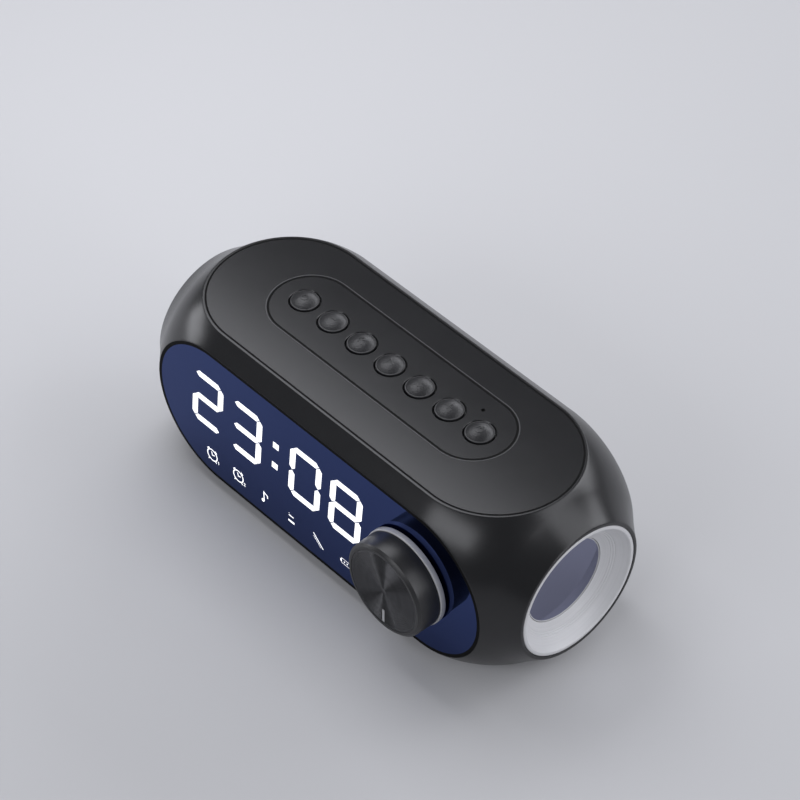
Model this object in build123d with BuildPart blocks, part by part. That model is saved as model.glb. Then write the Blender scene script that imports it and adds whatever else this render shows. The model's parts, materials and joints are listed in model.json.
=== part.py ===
from build123d import *
import os
from math import sqrt

os.makedirs("parts", exist_ok=True)

# Body: a capsule lying along X, cut flat on four sides, whose ends flare out to flat rims
body_radius = 42.0
body_straight = 92.0
body_wall = 2.4
top_flat_cut = 9.83
front_flat_cut = 10.04
rear_flat_cut = 10.04
bottom_flat_cut = 11.24
flare_width = 6.3
flare_proud = 2.04
rim_width = 0.8
rim_chamfer = 0.3
ledge_width = 3.2
ledge_thickness = 2.0
seam = 0.15
overrun = 1.0

# Covers that close the flats
top_plate_thickness = 2.4
lens_thickness = 2.0
gasket_thickness = 0.5
gasket_inset = 0.4
rear_panel_thickness = 2.4
bottom_cover_thickness = 2.4
cover_chamfer = 0.25

# Button panel let into the top plate
panel_x = -1.7
panel_y = 1.6
panel_straight = 72.0
panel_radius = 13.5
panel_flange_width = 2.0
panel_flange_thickness = 1.0
post_radius = 2.2
post_spacing_x = 78.0
post_spacing_y = 18.0
pinhole_x = 31.2
pinhole_y = 8.9
pinhole_radius = 0.5

# Push buttons and their switches
button_count = 7
button_pitch = 13.0
button_radius = 4.7
button_gap = 0.33
button_edge_height = 0.35
button_dome_height = 1.5
button_hole_chamfer = 0.2
button_flange_width = 0.9
button_flange_thickness = 0.8
button_flange_gap = 0.2
button_travel = 0.8
stem_radius = 1.6
stem_insert = 0.4
stem_clearance = 0.3
switch_side = 6.2
switch_height = 3.5
switch_clearance = 0.3

# Circuit boards and the screws that hold them
board_thickness = 1.6
button_board_margin = 3.0
screw_radius = 0.8
screw_clearance = 0.1
screw_head_radius = 1.6
screw_head_height = 1.2
screw_bite = 3.6
pilot_spare = 0.6

# Microphone behind the pinhole
microphone_radius = 2.0
microphone_height = 1.2
boot_radius = 2.4
boot_bore_radius = 0.9

# Display: light box, segments and icon windows behind the mirror lens
reflector_depth = 7.5
reflector_clearance = 0.6
reflector_right = 26.0
digit_count = 4
digit_height = 22.7
digit_width = 14.3
digit_centre_z = 4.5
digit_first_x = -49.2
digit_pitch = 18.3
digit_pair_gap = 8.95
digit_lean_share = 0.1
segment_width = 2.5
segment_gap = 0.35
segment_depth = 3.0
colon_size = 2.6
colon_spacing = 9.2
icon_count = 6
icon_first_x = -48.5
icon_pitch = 12.6
icon_centre_z = -18.5
icon_size = 4.6
display_board_inset = 2.2

# Knob and its rotary encoder
knob_x = 43.1
knob_gap = 0.5
knob_radius = 16.2
knob_draft = 0.2
knob_height = 10.6
knob_edge_height = 0.85
knob_face_radius = 14.1
knob_face_clearance = 0.1
knob_face_thickness = 0.8
knob_rim_width = 0.85
knob_ring_radius = 16.55
knob_ring_seat_radius = 14.5
knob_ring_low = 0.8
knob_ring_high = 2.5
knob_skirt_wall = 2.0
knob_roof = 1.8
knob_hub_radius = 5.5
knob_hub_gap = 2.0
knob_mark_width = 0.9
knob_mark_inner_radius = 8.2
knob_mark_outer_radius = 13.2
knob_mark_depth = 0.4
shaft_radius = 3.0
shaft_clearance = 0.05
shaft_depth = 6.5
bushing_radius = 3.6
bushing_below_face = 0.4
lens_hole_clearance = 0.3
encoder_width = 13.4
encoder_height = 12.4
encoder_depth = 6.0

# End bowls with their bass radiators
end_ring_radius = 23.0
end_ring_recess = 1.6
end_ring_lip = 1.2
end_ring_seat = 1.2
end_rim_width = 1.1
end_sleeve_clearance = 0.1
bowl_depth = 6.2
bowl_floor_radius = 15.4
bowl_bulge_share = 0.56
cap_radius = 14.9
cap_thickness = 1.2
cap_drop = 0.3
cap_hub_radius = 7.0
radiator_travel = 1.2
radiator_gap = 0.3
roll_radius = 1.75
roll_thickness = 0.6
roll_inner_radius = 12.5
roll_flange_width = 2.0
weight_thickness = 1.5

# Rear loudspeakers
driver_x = 37.0
driver_radius = 19.0
driver_flange_width = 2.0
driver_flange_thickness = 1.5
driver_depth = 21.0
basket_wall = 1.0
basket_rear_radius = 12.6
magnet_radius = 13.4
magnet_height = 8.0
pole_radius = 6.0
coil_radius = 6.8
coil_wall = 0.4
coil_gap = 0.4
coil_depth = 4.0
cone_radius = 14.0
cone_thickness = 0.6
cone_setback = 1.6
dust_cap_height = 2.4
cone_travel = 1.0
surround_gap = 0.3
surround_thickness = 0.6
grille_hole_radius = 0.9
grille_ring_pitch = 3.1
grille_ring_count = 5
grille_holes_per_ring = 6

# Main board and the sockets on its rear edge
main_board_width = 33.0
main_board_length = 38.0
main_board_gap = 0.3
standoff_radius = 2.4
standoff_inset_x = 3.4
standoff_front_inset = 3.4
standoff_rear_inset = 13.8
port_rise = 0.5
usb_x = 2.6
usb_width = 9.0
usb_height = 3.2
usb_length = 7.4
usb_wall = 0.3
usb_tongue_width = 6.6
usb_tongue_thickness = 0.7
jack_x = 12.0
jack_width = 6.4
jack_height = 5.2
jack_length = 12.0
jack_nose_radius = 2.5
jack_bore_radius = 1.8
card_x = -8.6
card_width = 12.4
card_height = 1.9
card_length = 14.0
card_slot_width = 11.2
card_slot_height = 0.9
port_clearance = 0.2

# Battery pack taped to the back of the display board
battery_length = 50.0
battery_height = 34.0
battery_depth = 10.0
battery_x = -14.0
battery_round = 1.5
pad_thickness = 1.2
pad_inset = 4.0

# Ribbon cable from the display board to the main board
ribbon_width = 12.0
ribbon_thickness = 0.3
ribbon_reach = 4.0
ribbon_bend = 1.5
ribbon_clearance = 2.0
ribbon_x = 0.0

# Underside
foot_proud = 1.2
foot_sunk = 0.8
foot_straight = 84.0
foot_radius = 15.0
foot_chamfer = 0.5
cover_screw_x = 30.0
boss_radius = 2.4
boss_height = 3.0
cover_screw_recess = 0.2
cover_screw_margin = 0.9

# Places worked out from the sizes above
half_straight = body_straight / 2


def flat_distance(flat_radius):
    """How far from the body's axis a flat of that radius lies."""
    return sqrt(body_radius ** 2 - flat_radius ** 2)


def flat_radius_of(flat_cut):
    """Radius of the ends of a flat that is cut so deep into the body."""
    return sqrt(body_radius ** 2 - (body_radius - flat_cut) ** 2)


top_flat_radius = flat_radius_of(top_flat_cut)
front_flat_radius = flat_radius_of(front_flat_cut)
rear_flat_radius = flat_radius_of(rear_flat_cut)
bottom_flat_radius = flat_radius_of(bottom_flat_cut)
axis_height = body_radius - bottom_flat_cut + foot_proud
top_z = axis_height + body_radius - top_flat_cut
front_y = front_flat_cut - body_radius
rear_y = body_radius - rear_flat_cut
end_flat_radius = end_ring_radius + end_sleeve_clearance + end_rim_width
flare_radius = end_flat_radius + flare_width
flare_x = half_straight + flat_distance(flare_radius)
end_x = half_straight + flat_distance(end_flat_radius) + flare_proud
lens_pocket = lens_thickness + gasket_thickness
end_sleeve_radius = end_ring_radius - end_ring_seat

body_axis = Axis((0, 0, axis_height), (1, 0, 0))
axis_section = Plane(origin=(0, 0, axis_height), x_dir=(1, 0, 0), z_dir=(0, -1, 0))
top_plane = Plane.XY.offset(top_z)
bottom_plane = Plane(origin=(0, 0, foot_proud), x_dir=(1, 0, 0), z_dir=(0, 0, -1))
front_plane = Plane(origin=(0, front_y, axis_height), x_dir=(1, 0, 0), z_dir=(0, -1, 0))
rear_plane = Plane(origin=(0, rear_y, axis_height), x_dir=(-1, 0, 0), z_dir=(0, 1, 0))
right_plane = Plane(origin=(end_x, 0, axis_height), x_dir=(0, 1, 0), z_dir=(1, 0, 0))
left_plane = Plane(origin=(-end_x, 0, axis_height), x_dir=(0, 1, 0), z_dir=(-1, 0, 0))

# Each cover's flat with its outline radius and the depth of its pocket
covers = (
    (top_plane, top_flat_radius - rim_width, top_plate_thickness),
    (front_plane, front_flat_radius - rim_width, lens_pocket),
    (rear_plane, rear_flat_radius - rim_width, rear_panel_thickness),
    (bottom_plane, bottom_flat_radius - rim_width, bottom_cover_thickness),
)
ends = (("right", right_plane, 1), ("left", left_plane, -1))

# Screws of the bottom cover, just inside its edge
cover_outline_radius = bottom_flat_radius - rim_width - seam
cover_screw_radius = cover_outline_radius - screw_head_radius - cover_screw_margin
cover_screw_places = [
    (side * cover_screw_x, row * cover_screw_radius) for side in (-1, 1) for row in (-1, 1)
]
cover_screw_places += [(side * (half_straight + cover_screw_radius), 0) for side in (-1, 1)]
cover_top_z = foot_proud + bottom_cover_thickness


def capsule_profile(radius):
    """Half outline of a capsule of that radius, to be turned about the body's axis."""
    with BuildSketch(axis_section) as profile:
        with BuildLine():
            middle = radius * sqrt(2) / 2
            tip = half_straight + radius
            shoulder = half_straight + middle
            ThreePointArc((-tip, 0), (-shoulder, middle), (-half_straight, radius))
            Line((-half_straight, radius), (half_straight, radius))
            ThreePointArc((half_straight, radius), (shoulder, middle), (tip, 0))
            Line((tip, 0), (-tip, 0))
        make_face()
    return profile.sketch


def body_profile():
    """Half outline of the body: a capsule whose round ends run out to the rims of the bowls."""
    with BuildSketch(axis_section) as profile:
        with BuildLine():
            Line((-half_straight, body_radius), (half_straight, body_radius))
            for outward in (-1, 1):
                shoulder = (outward * half_straight, body_radius)
                flare = (outward * flare_x, flare_radius)
                rim = (outward * end_x, end_flat_radius)
                TangentArc(shoulder, flare, tangent=(outward, 0))
                TangentArc(flare, rim, tangent=(outward * flare_radius, half_straight - flare_x))
                Line(rim, (outward * end_x, 0))
            Line((-end_x, 0), (end_x, 0))
        make_face()
    return profile.sketch


# Room inside the body, kept clear of the ledges that carry the covers
with BuildPart() as cavity:
    revolve(capsule_profile(body_radius - body_wall), axis=body_axis)
    for flat, outline_radius, pocket_depth in covers:
        split(bisect_by=flat.offset(-pocket_depth - ledge_thickness), keep=Keep.BOTTOM)

# Body shell with a pocket and an opening behind each cover
with BuildPart() as main_housing:
    revolve(body_profile(), axis=body_axis)
    for flat in (top_plane, front_plane, rear_plane, bottom_plane):
        split(bisect_by=flat, keep=Keep.BOTTOM)
    rims = ShapeList()
    for direction in (Axis.X, Axis.Y, Axis.Z):
        sorted_faces = main_housing.faces().sort_by(direction)
        rims += sorted_faces[0].edges() + sorted_faces[-1].edges()
    chamfer(rims, rim_chamfer)
    add(cavity.part, mode=Mode.SUBTRACT)
    for flat, outline_radius, pocket_depth in covers:
        with BuildSketch(flat):
            SlotCenterToCenter(body_straight, 2 * outline_radius)
        extrude(amount=-pocket_depth, mode=Mode.SUBTRACT)
        with BuildSketch(flat.offset(-pocket_depth)):
            SlotCenterToCenter(body_straight, 2 * (outline_radius - ledge_width))
        extrude(amount=-ledge_thickness - overrun, mode=Mode.SUBTRACT)
    for side, flat, outward in ends:
        with BuildSketch(flat):
            Circle(end_sleeve_radius + end_sleeve_clearance)
        extrude(amount=-body_radius / 2, mode=Mode.SUBTRACT)
        with BuildSketch(flat):
            Circle(end_ring_radius + end_sleeve_clearance)
        extrude(amount=-end_ring_recess, mode=Mode.SUBTRACT)
    with BuildSketch(Plane.XY.offset(cover_top_z)):
        with Locations(*cover_screw_places):
            Circle(boss_radius)
    extrude(amount=ledge_thickness + boss_height)
    with BuildSketch(Plane.XY.offset(cover_top_z)):
        with Locations(*cover_screw_places):
            Circle(screw_radius + screw_clearance)
    extrude(amount=ledge_thickness + boss_height, mode=Mode.SUBTRACT)
main_housing.part.label = "main_housing"
export_step(main_housing.part, "parts/main_housing.step")

# Top plate, open in the middle for the button panel
with BuildPart() as top_plate:
    with BuildSketch(top_plane):
        SlotCenterToCenter(body_straight, 2 * (top_flat_radius - rim_width - seam))
        with Locations((panel_x, panel_y)):
            SlotCenterToCenter(panel_straight, 2 * (panel_radius + seam), mode=Mode.SUBTRACT)
    extrude(amount=-top_plate_thickness)
    chamfer(top_plate.faces().sort_by(Axis.Z)[-1].edges(), cover_chamfer)
top_plate.part.label = "top_plate"
export_step(top_plate.part, "parts/top_plate.step")

# Levels below the top face, from the button panel down to its circuit board
panel_bottom_z = top_z - top_plate_thickness - panel_flange_thickness
button_flange_z = panel_bottom_z - button_flange_gap
switch_top_z = button_flange_z - button_flange_thickness - button_travel - switch_clearance
button_board_top_z = switch_top_z - switch_height
button_board_bottom_z = button_board_top_z - board_thickness
button_first_x = panel_x - button_pitch * (button_count - 1) / 2
button_places = [(button_first_x + button_pitch * place, panel_y) for place in range(button_count)]
post_places = [
    (panel_x + side * post_spacing_x / 2, panel_y + row * post_spacing_y / 2)
    for side in (-1, 1)
    for row in (-1, 1)
]
pilot_depth = screw_bite + pilot_spare

# Button panel with its flange under the top plate and four posts for the circuit board
with BuildPart() as button_panel:
    with BuildSketch(top_plane):
        with Locations((panel_x, panel_y)):
            SlotCenterToCenter(panel_straight, 2 * panel_radius)
    extrude(amount=-top_plate_thickness)
    chamfer(button_panel.faces().sort_by(Axis.Z)[-1].edges(), cover_chamfer)
    with BuildSketch(top_plane.offset(-top_plate_thickness)):
        with Locations((panel_x, panel_y)):
            SlotCenterToCenter(panel_straight, 2 * (panel_radius + panel_flange_width))
    extrude(amount=-panel_flange_thickness)
    with BuildSketch(Plane.XY.offset(button_board_top_z)):
        with Locations(*post_places):
            Circle(post_radius)
    extrude(amount=panel_bottom_z - button_board_top_z)
    with BuildSketch(Plane.XY.offset(button_board_top_z)):
        with Locations(*post_places):
            Circle(screw_radius + screw_clearance)
    extrude(amount=pilot_depth, mode=Mode.SUBTRACT)
    with BuildSketch(top_plane):
        with Locations(*button_places):
            Circle(button_radius + button_gap)
        with Locations((pinhole_x, pinhole_y)):
            Circle(pinhole_radius)
    extrude(amount=-top_plate_thickness - panel_flange_thickness, mode=Mode.SUBTRACT)
    top_rims = button_panel.faces().sort_by(Axis.Z)[-1].edges().filter_by(GeomType.CIRCLE)
    chamfer(top_rims.group_by(SortBy.RADIUS)[1], button_hole_chamfer)
button_panel.part.label = "button_panel"
export_step(button_panel.part, "parts/button_panel.step")

# Push buttons: a domed cap, a flange that keeps it under the panel and a stem to its switch
for number, (button_x, button_y) in enumerate(button_places, start=1):
    button_section = Plane(origin=(button_x, button_y, top_z), x_dir=(1, 0, 0), z_dir=(0, -1, 0))
    flange_drop = top_z - button_flange_z
    stem_drop = top_z - switch_top_z + stem_insert
    with BuildPart() as button:
        with BuildSketch(button_section):
            with BuildLine():
                dome_rise = button_dome_height - button_edge_height
                dome_radius = (button_radius ** 2 + dome_rise ** 2) / (2 * dome_rise)
                half_width = button_radius / 2
                half_drop = dome_radius - sqrt(dome_radius ** 2 - half_width ** 2)
                flange_radius = button_radius + button_flange_width
                ThreePointArc(
                    (0, button_dome_height),
                    (half_width, button_dome_height - half_drop),
                    (button_radius, button_edge_height),
                )
                Polyline(
                    (button_radius, button_edge_height),
                    (button_radius, -flange_drop),
                    (flange_radius, -flange_drop),
                    (flange_radius, -flange_drop - button_flange_thickness),
                    (stem_radius, -flange_drop - button_flange_thickness),
                    (stem_radius, -stem_drop),
                    (0, -stem_drop),
                    (0, button_dome_height),
                )
            make_face()
        revolve(axis=Axis((button_x, button_y, 0), (0, 0, 1)))
    button.part.label = f"button_{number}"
    export_step(button.part, f"parts/button_{number}.step")

# Switches under the buttons, each with a well for its button's stem
with BuildPart() as tact_switches:
    with BuildSketch(Plane.XY.offset(button_board_top_z)):
        with Locations(*button_places):
            Rectangle(switch_side, switch_side)
            Circle(stem_radius + stem_clearance, mode=Mode.SUBTRACT)
    extrude(amount=switch_height)
tact_switches.part.label = "tact_switches"
export_step(tact_switches.part, "parts/tact_switches.step")

# Circuit board that carries the switches
with BuildPart() as button_board:
    with BuildSketch(Plane.XY.offset(button_board_top_z)):
        with Locations((panel_x, panel_y)):
            RectangleRounded(
                post_spacing_x + 2 * (post_radius + button_board_margin),
                post_spacing_y + 2 * post_radius,
                post_radius,
            )
        with Locations(*post_places):
            Circle(screw_radius + screw_clearance, mode=Mode.SUBTRACT)
    extrude(amount=-board_thickness)
button_board.part.label = "button_board"
export_step(button_board.part, "parts/button_board.step")

# Microphone on that board and the rubber boot that joins it to the pinhole
with BuildPart() as microphone:
    with BuildSketch(Plane.XY.offset(button_board_top_z)):
        with Locations((pinhole_x, pinhole_y)):
            Circle(microphone_radius)
    extrude(amount=microphone_height)
microphone.part.label = "microphone"
export_step(microphone.part, "parts/microphone.step")

with BuildPart() as microphone_boot:
    with BuildSketch(Plane.XY.offset(button_board_top_z + microphone_height)):
        with Locations((pinhole_x, pinhole_y)):
            Circle(boot_radius)
            Circle(boot_bore_radius, mode=Mode.SUBTRACT)
    extrude(amount=panel_bottom_z - button_board_top_z - microphone_height)
microphone_boot.part.label = "microphone_boot"
export_step(microphone_boot.part, "parts/microphone_boot.step")

# Mirror lens, with a hole for the knob's bushing
lens_radius = front_flat_radius - rim_width - seam
with BuildPart() as mirror_lens:
    with BuildSketch(front_plane):
        SlotCenterToCenter(body_straight, 2 * lens_radius)
        with Locations((knob_x, 0)):
            Circle(bushing_radius + lens_hole_clearance, mode=Mode.SUBTRACT)
    extrude(amount=-lens_thickness)
    rim_edges = mirror_lens.faces().sort_by(Axis.Y)[0].outer_wire().edges()
    chamfer(rim_edges, cover_chamfer)
mirror_lens.part.label = "mirror_lens"
export_step(mirror_lens.part, "parts/mirror_lens.step")

# Foam gasket between the lens and its ledge
lens_opening_radius = front_flat_radius - rim_width - ledge_width
with BuildPart() as lens_gasket:
    with BuildSketch(front_plane.offset(-lens_thickness)):
        SlotCenterToCenter(body_straight, 2 * (lens_radius - gasket_inset))
        SlotCenterToCenter(
            body_straight, 2 * (lens_opening_radius + gasket_inset), mode=Mode.SUBTRACT
        )
    extrude(amount=-gasket_thickness)
lens_gasket.part.label = "lens_gasket"
export_step(lens_gasket.part, "parts/lens_gasket.step")

# Four leaning digits of seven segments and a colon: each bar's centre and length, and whether it stands
half_count = digit_count // 2
digit_places = [
    digit_first_x + digit_pitch * place + digit_pair_gap * (place // half_count)
    for place in range(digit_count)
]
colon_x = (digit_places[half_count - 1] + digit_places[half_count]) / 2
bar_reach_x = (digit_width - segment_width) / 2
bar_reach_z = (digit_height - segment_width) / 2
flat_bar_length = digit_width - segment_width - segment_gap
tall_bar_length = bar_reach_z - segment_gap
digit_bars = [(0, row * bar_reach_z, flat_bar_length, False) for row in (-1, 0, 1)]
digit_bars += [
    (side * bar_reach_x, row * bar_reach_z / 2, tall_bar_length, True)
    for side in (-1, 1)
    for row in (-1, 1)
]
icon_places = [(icon_first_x + icon_pitch * place, icon_centre_z) for place in range(icon_count)]
lens_back = front_plane.offset(-lens_thickness)


def bar_corners(bar_x, bar_z, bar_length, stands):
    """Corners of one bar about the middle of its digit, leaning with the digit."""
    shoulder = (bar_length - segment_width) / 2
    half_width = segment_width / 2
    corners = []
    for along, across in (
        (-bar_length / 2, 0),
        (-shoulder, -half_width),
        (shoulder, -half_width),
        (bar_length / 2, 0),
        (shoulder, half_width),
        (-shoulder, half_width),
    ):
        corner_x = bar_x + (-across if stands else along)
        corner_z = bar_z + (along if stands else across)
        corners.append((corner_x + digit_lean_share * corner_z, corner_z))
    return corners


def segment_faces():
    """Outlines of all the segments and the colon's two dots, on the back of the lens."""
    with BuildSketch(lens_back) as outlines:
        for digit_x in digit_places:
            with Locations((digit_x, digit_centre_z)):
                for bar in digit_bars:
                    Polygon(*bar_corners(*bar), align=None)
        for row in (-1, 1):
            colon_rise = row * colon_spacing / 2
            with Locations((colon_x + digit_lean_share * colon_rise, digit_centre_z + colon_rise)):
                Rectangle(colon_size, colon_size)
    return outlines.sketch


# Light box behind the lens, with a well for each segment and icon
with BuildPart() as display_reflector:
    with BuildSketch(lens_back):
        SlotCenterToCenter(body_straight, 2 * (lens_opening_radius - reflector_clearance))
    extrude(amount=-reflector_depth)
    split(bisect_by=Plane.YZ.offset(reflector_right), keep=Keep.BOTTOM)
    extrude(segment_faces(), amount=-reflector_depth, mode=Mode.SUBTRACT)
    with BuildSketch(lens_back):
        with Locations(*icon_places):
            Rectangle(icon_size, icon_size)
    extrude(amount=-reflector_depth, mode=Mode.SUBTRACT)
display_reflector.part.label = "display_reflector"
export_step(display_reflector.part, "parts/display_reflector.step")

# Diffusers that fill the front of the wells
with BuildPart() as display_segments:
    extrude(segment_faces(), amount=-segment_depth)
display_segments.part.label = "display_segments"
export_step(display_segments.part, "parts/display_segments.step")

with BuildPart() as display_icons:
    with BuildSketch(lens_back):
        with Locations(*icon_places):
            Rectangle(icon_size, icon_size)
    extrude(amount=-segment_depth)
display_icons.part.label = "display_icons"
export_step(display_icons.part, "parts/display_icons.step")

# Display board behind the light box, which also carries the knob's encoder
display_board_plane = lens_back.offset(-reflector_depth)
display_board_back = display_board_plane.offset(-board_thickness)
with BuildPart() as display_board:
    with BuildSketch(display_board_plane):
        SlotCenterToCenter(body_straight, 2 * (lens_opening_radius - display_board_inset))
    extrude(amount=-board_thickness)
display_board.part.label = "display_board"
export_step(display_board.part, "parts/display_board.step")

# Rotary encoder: a case on the display board and a bushing through the lens
knob_axis = Axis((knob_x, 0, axis_height), (0, -1, 0))
shaft_seat_radius = shaft_radius + shaft_clearance
bushing_length = lens_thickness + reflector_depth - encoder_depth - bushing_below_face
with BuildPart() as encoder_case:
    with BuildSketch(display_board_plane):
        with Locations((knob_x, 0)):
            Rectangle(encoder_width, encoder_height)
    extrude(amount=encoder_depth)
    with BuildSketch(display_board_plane.offset(encoder_depth)):
        with Locations((knob_x, 0)):
            Circle(bushing_radius)
    extrude(amount=bushing_length)
    with BuildSketch(front_plane):
        with Locations((knob_x, 0)):
            Circle(shaft_seat_radius)
    extrude(amount=-shaft_depth - shaft_clearance, mode=Mode.SUBTRACT)
encoder_case.part.label = "encoder_case"
export_step(encoder_case.part, "parts/encoder_case.step")

# Shaft from the encoder to the roof of the knob
knob_floor = knob_height - knob_face_thickness
shaft_end = knob_floor - knob_roof / 2
with BuildPart() as encoder_shaft:
    with BuildSketch(front_plane.offset(-shaft_depth)):
        with Locations((knob_x, 0)):
            Circle(shaft_radius)
    extrude(amount=shaft_depth + shaft_end)
encoder_shaft.part.label = "encoder_shaft"
export_step(encoder_shaft.part, "parts/encoder_shaft.step")

# Knob body: a hollow cap with a hub on the shaft and a seat for its ring and its face
knob_section = Plane(origin=(knob_x, front_y, axis_height), x_dir=(1, 0, 0), z_dir=(0, 0, -1))
knob_face_seat_radius = knob_face_radius + knob_face_clearance
knob_cavity_radius = knob_ring_seat_radius - knob_skirt_wall
with BuildPart() as knob_body:
    with BuildSketch(knob_section):
        with BuildLine():
            Polyline(
                (shaft_radius, knob_hub_gap),
                (knob_hub_radius, knob_hub_gap),
                (knob_hub_radius, knob_floor - knob_roof),
                (knob_cavity_radius, knob_floor - knob_roof),
                (knob_cavity_radius, knob_gap),
                (knob_ring_seat_radius, knob_gap),
                (knob_ring_seat_radius, knob_ring_high),
                (knob_radius, knob_ring_high),
                (knob_radius - knob_draft, knob_height - knob_edge_height),
                (knob_face_seat_radius + knob_rim_width, knob_height),
                (knob_face_seat_radius, knob_height),
                (knob_face_seat_radius, knob_floor),
                (0, knob_floor),
                (0, shaft_end),
                (shaft_radius, shaft_end),
                close=True,
            )
        make_face()
    revolve(axis=knob_axis)
knob_body.part.label = "knob_body"
export_step(knob_body.part, "parts/knob_body.step")

# Bright ring round the foot of the knob
with BuildPart() as knob_ring:
    with BuildSketch(front_plane.offset(knob_ring_low)):
        with Locations((knob_x, 0)):
            Circle(knob_ring_radius)
            Circle(knob_ring_seat_radius, mode=Mode.SUBTRACT)
    extrude(amount=knob_ring_high - knob_ring_low)
    chamfer(knob_ring.edges().filter_by(GeomType.CIRCLE).group_by(SortBy.RADIUS)[-1], cover_chamfer)
knob_ring.part.label = "knob_ring"
export_step(knob_ring.part, "parts/knob_ring.step")

# Turned disc let into the knob's face, with a slot for the pointer mark
mark_length = knob_mark_outer_radius - knob_mark_inner_radius
mark_middle = (knob_mark_outer_radius + knob_mark_inner_radius) / 2
with BuildPart() as knob_face:
    with BuildSketch(front_plane.offset(knob_floor)):
        with Locations((knob_x, 0)):
            Circle(knob_face_radius)
    extrude(amount=knob_face_thickness)
    with BuildSketch(front_plane.offset(knob_height)):
        with Locations((knob_x, -mark_middle)):
            Rectangle(knob_mark_width, mark_length)
    extrude(amount=-knob_mark_depth, mode=Mode.SUBTRACT)
knob_face.part.label = "knob_face"
export_step(knob_face.part, "parts/knob_face.step")

with BuildPart() as knob_mark:
    with BuildSketch(front_plane.offset(knob_height - knob_mark_depth)):
        with Locations((knob_x, -mark_middle)):
            Rectangle(knob_mark_width, mark_length)
    extrude(amount=knob_mark_depth)
knob_mark.part.label = "knob_mark"
export_step(knob_mark.part, "parts/knob_mark.step")

# Levels of the end bowls, measured out along the body's axis
ring_face = end_x
ring_seat_x = end_x - end_ring_recess
bowl_floor = ring_face - bowl_depth
bowl_mouth_radius = end_ring_radius - end_ring_lip
cap_face = bowl_floor - cap_drop
cap_back = cap_face - cap_thickness
bowl_back = cap_back - radiator_travel - radiator_gap
weight_face = bowl_back - radiator_gap
weight_back = weight_face - weight_thickness
roll_middle_radius = roll_inner_radius + roll_radius
roll_outer_radius = roll_middle_radius + roll_radius
roll_edge_radius = roll_outer_radius + roll_flange_width

for side, flat, outward in ends:
    # Bowl with a bright lip, let in flush with the end of the body
    with BuildPart() as end_ring:
        with BuildSketch(axis_section):
            with BuildLine():
                bulge_x = bowl_floor + bowl_depth * (1 - bowl_bulge_share)
                bulge_r = bowl_floor_radius + (bowl_mouth_radius - bowl_floor_radius) * bowl_bulge_share
                Polyline(
                    (outward * ring_face, bowl_mouth_radius),
                    (outward * ring_face, end_ring_radius),
                    (outward * ring_seat_x, end_ring_radius),
                    (outward * ring_seat_x, end_sleeve_radius),
                    (outward * bowl_back, end_sleeve_radius),
                    (outward * bowl_back, bowl_floor_radius),
                    (outward * bowl_floor, bowl_floor_radius),
                )
                ThreePointArc(
                    (outward * bowl_floor, bowl_floor_radius),
                    (outward * bulge_x, bulge_r),
                    (outward * ring_face, bowl_mouth_radius),
                )
            make_face()
        revolve(axis=body_axis)
    end_ring.part.label = f"{side}_end_ring"
    export_step(end_ring.part, f"parts/{side}_end_ring.step")

    # Mirror cap of the bass radiator, with a hub to its weight
    with BuildPart() as radiator_cap:
        with BuildSketch(axis_section):
            with BuildLine():
                Polyline(
                    (outward * cap_face, 0),
                    (outward * cap_face, cap_radius),
                    (outward * cap_back, cap_radius),
                    (outward * cap_back, cap_hub_radius),
                    (outward * weight_face, cap_hub_radius),
                    (outward * weight_face, 0),
                    close=True,
                )
            make_face()
        revolve(axis=body_axis)
    radiator_cap.part.label = f"{side}_radiator_cap"
    export_step(radiator_cap.part, f"parts/{side}_radiator_cap.step")

    # Steel weight behind the cap
    with BuildPart() as radiator_weight:
        with BuildSketch(flat.offset(weight_back - end_x)):
            Circle(roll_inner_radius - radiator_gap)
        extrude(amount=weight_thickness)
    radiator_weight.part.label = f"{side}_radiator_weight"
    export_step(radiator_weight.part, f"parts/{side}_radiator_weight.step")

    # Rubber roll that carries the weight from the back of the bowl
    with BuildPart() as radiator_roll:
        with BuildSketch(axis_section):
            hollow_radius = roll_radius - roll_thickness
            roll_x = outward * bowl_back
            with BuildLine():
                ThreePointArc(
                    (roll_x, roll_middle_radius + hollow_radius),
                    (roll_x - outward * hollow_radius, roll_middle_radius),
                    (roll_x, roll_middle_radius - hollow_radius),
                )
                Line((roll_x, roll_middle_radius - hollow_radius), (roll_x, roll_inner_radius))
                ThreePointArc(
                    (roll_x, roll_inner_radius),
                    (roll_x - outward * roll_radius, roll_middle_radius),
                    (roll_x, roll_outer_radius),
                )
                Line((roll_x, roll_outer_radius), (roll_x, roll_middle_radius + hollow_radius))
            make_face()
            with BuildLine():
                Polyline(
                    (roll_x, roll_middle_radius + hollow_radius),
                    (roll_x, roll_edge_radius),
                    (roll_x - outward * roll_thickness, roll_edge_radius),
                    (roll_x - outward * roll_thickness, roll_middle_radius + hollow_radius),
                    close=True,
                )
            make_face()
        revolve(axis=body_axis)
    radiator_roll.part.label = f"{side}_radiator_roll"
    export_step(radiator_roll.part, f"parts/{side}_radiator_roll.step")

# Levels of the main board, which sits just above the rim of the rear opening
rear_opening_radius = rear_flat_radius - rim_width - ledge_width
rear_inner_y = rear_y - rear_panel_thickness
main_board_top_z = axis_height - rear_opening_radius + port_rise
main_board_bottom_z = main_board_top_z - board_thickness
main_board_rear_y = rear_inner_y - ledge_thickness - main_board_gap
main_board_y = main_board_rear_y - main_board_length / 2
main_board_front_y = main_board_rear_y - main_board_length
standoff_rows = (main_board_front_y + standoff_front_inset, main_board_rear_y - standoff_rear_inset)
standoff_places = [
    (side * (main_board_width / 2 - standoff_inset_x), row) for side in (-1, 1) for row in standoff_rows
]
usb_z = main_board_top_z + usb_height / 2
jack_z = main_board_top_z + jack_height / 2
card_z = main_board_top_z + card_height / 2
rear_inner_plane = rear_plane.offset(-rear_panel_thickness)
driver_places = [(-driver_x, 0), (driver_x, 0)]

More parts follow.
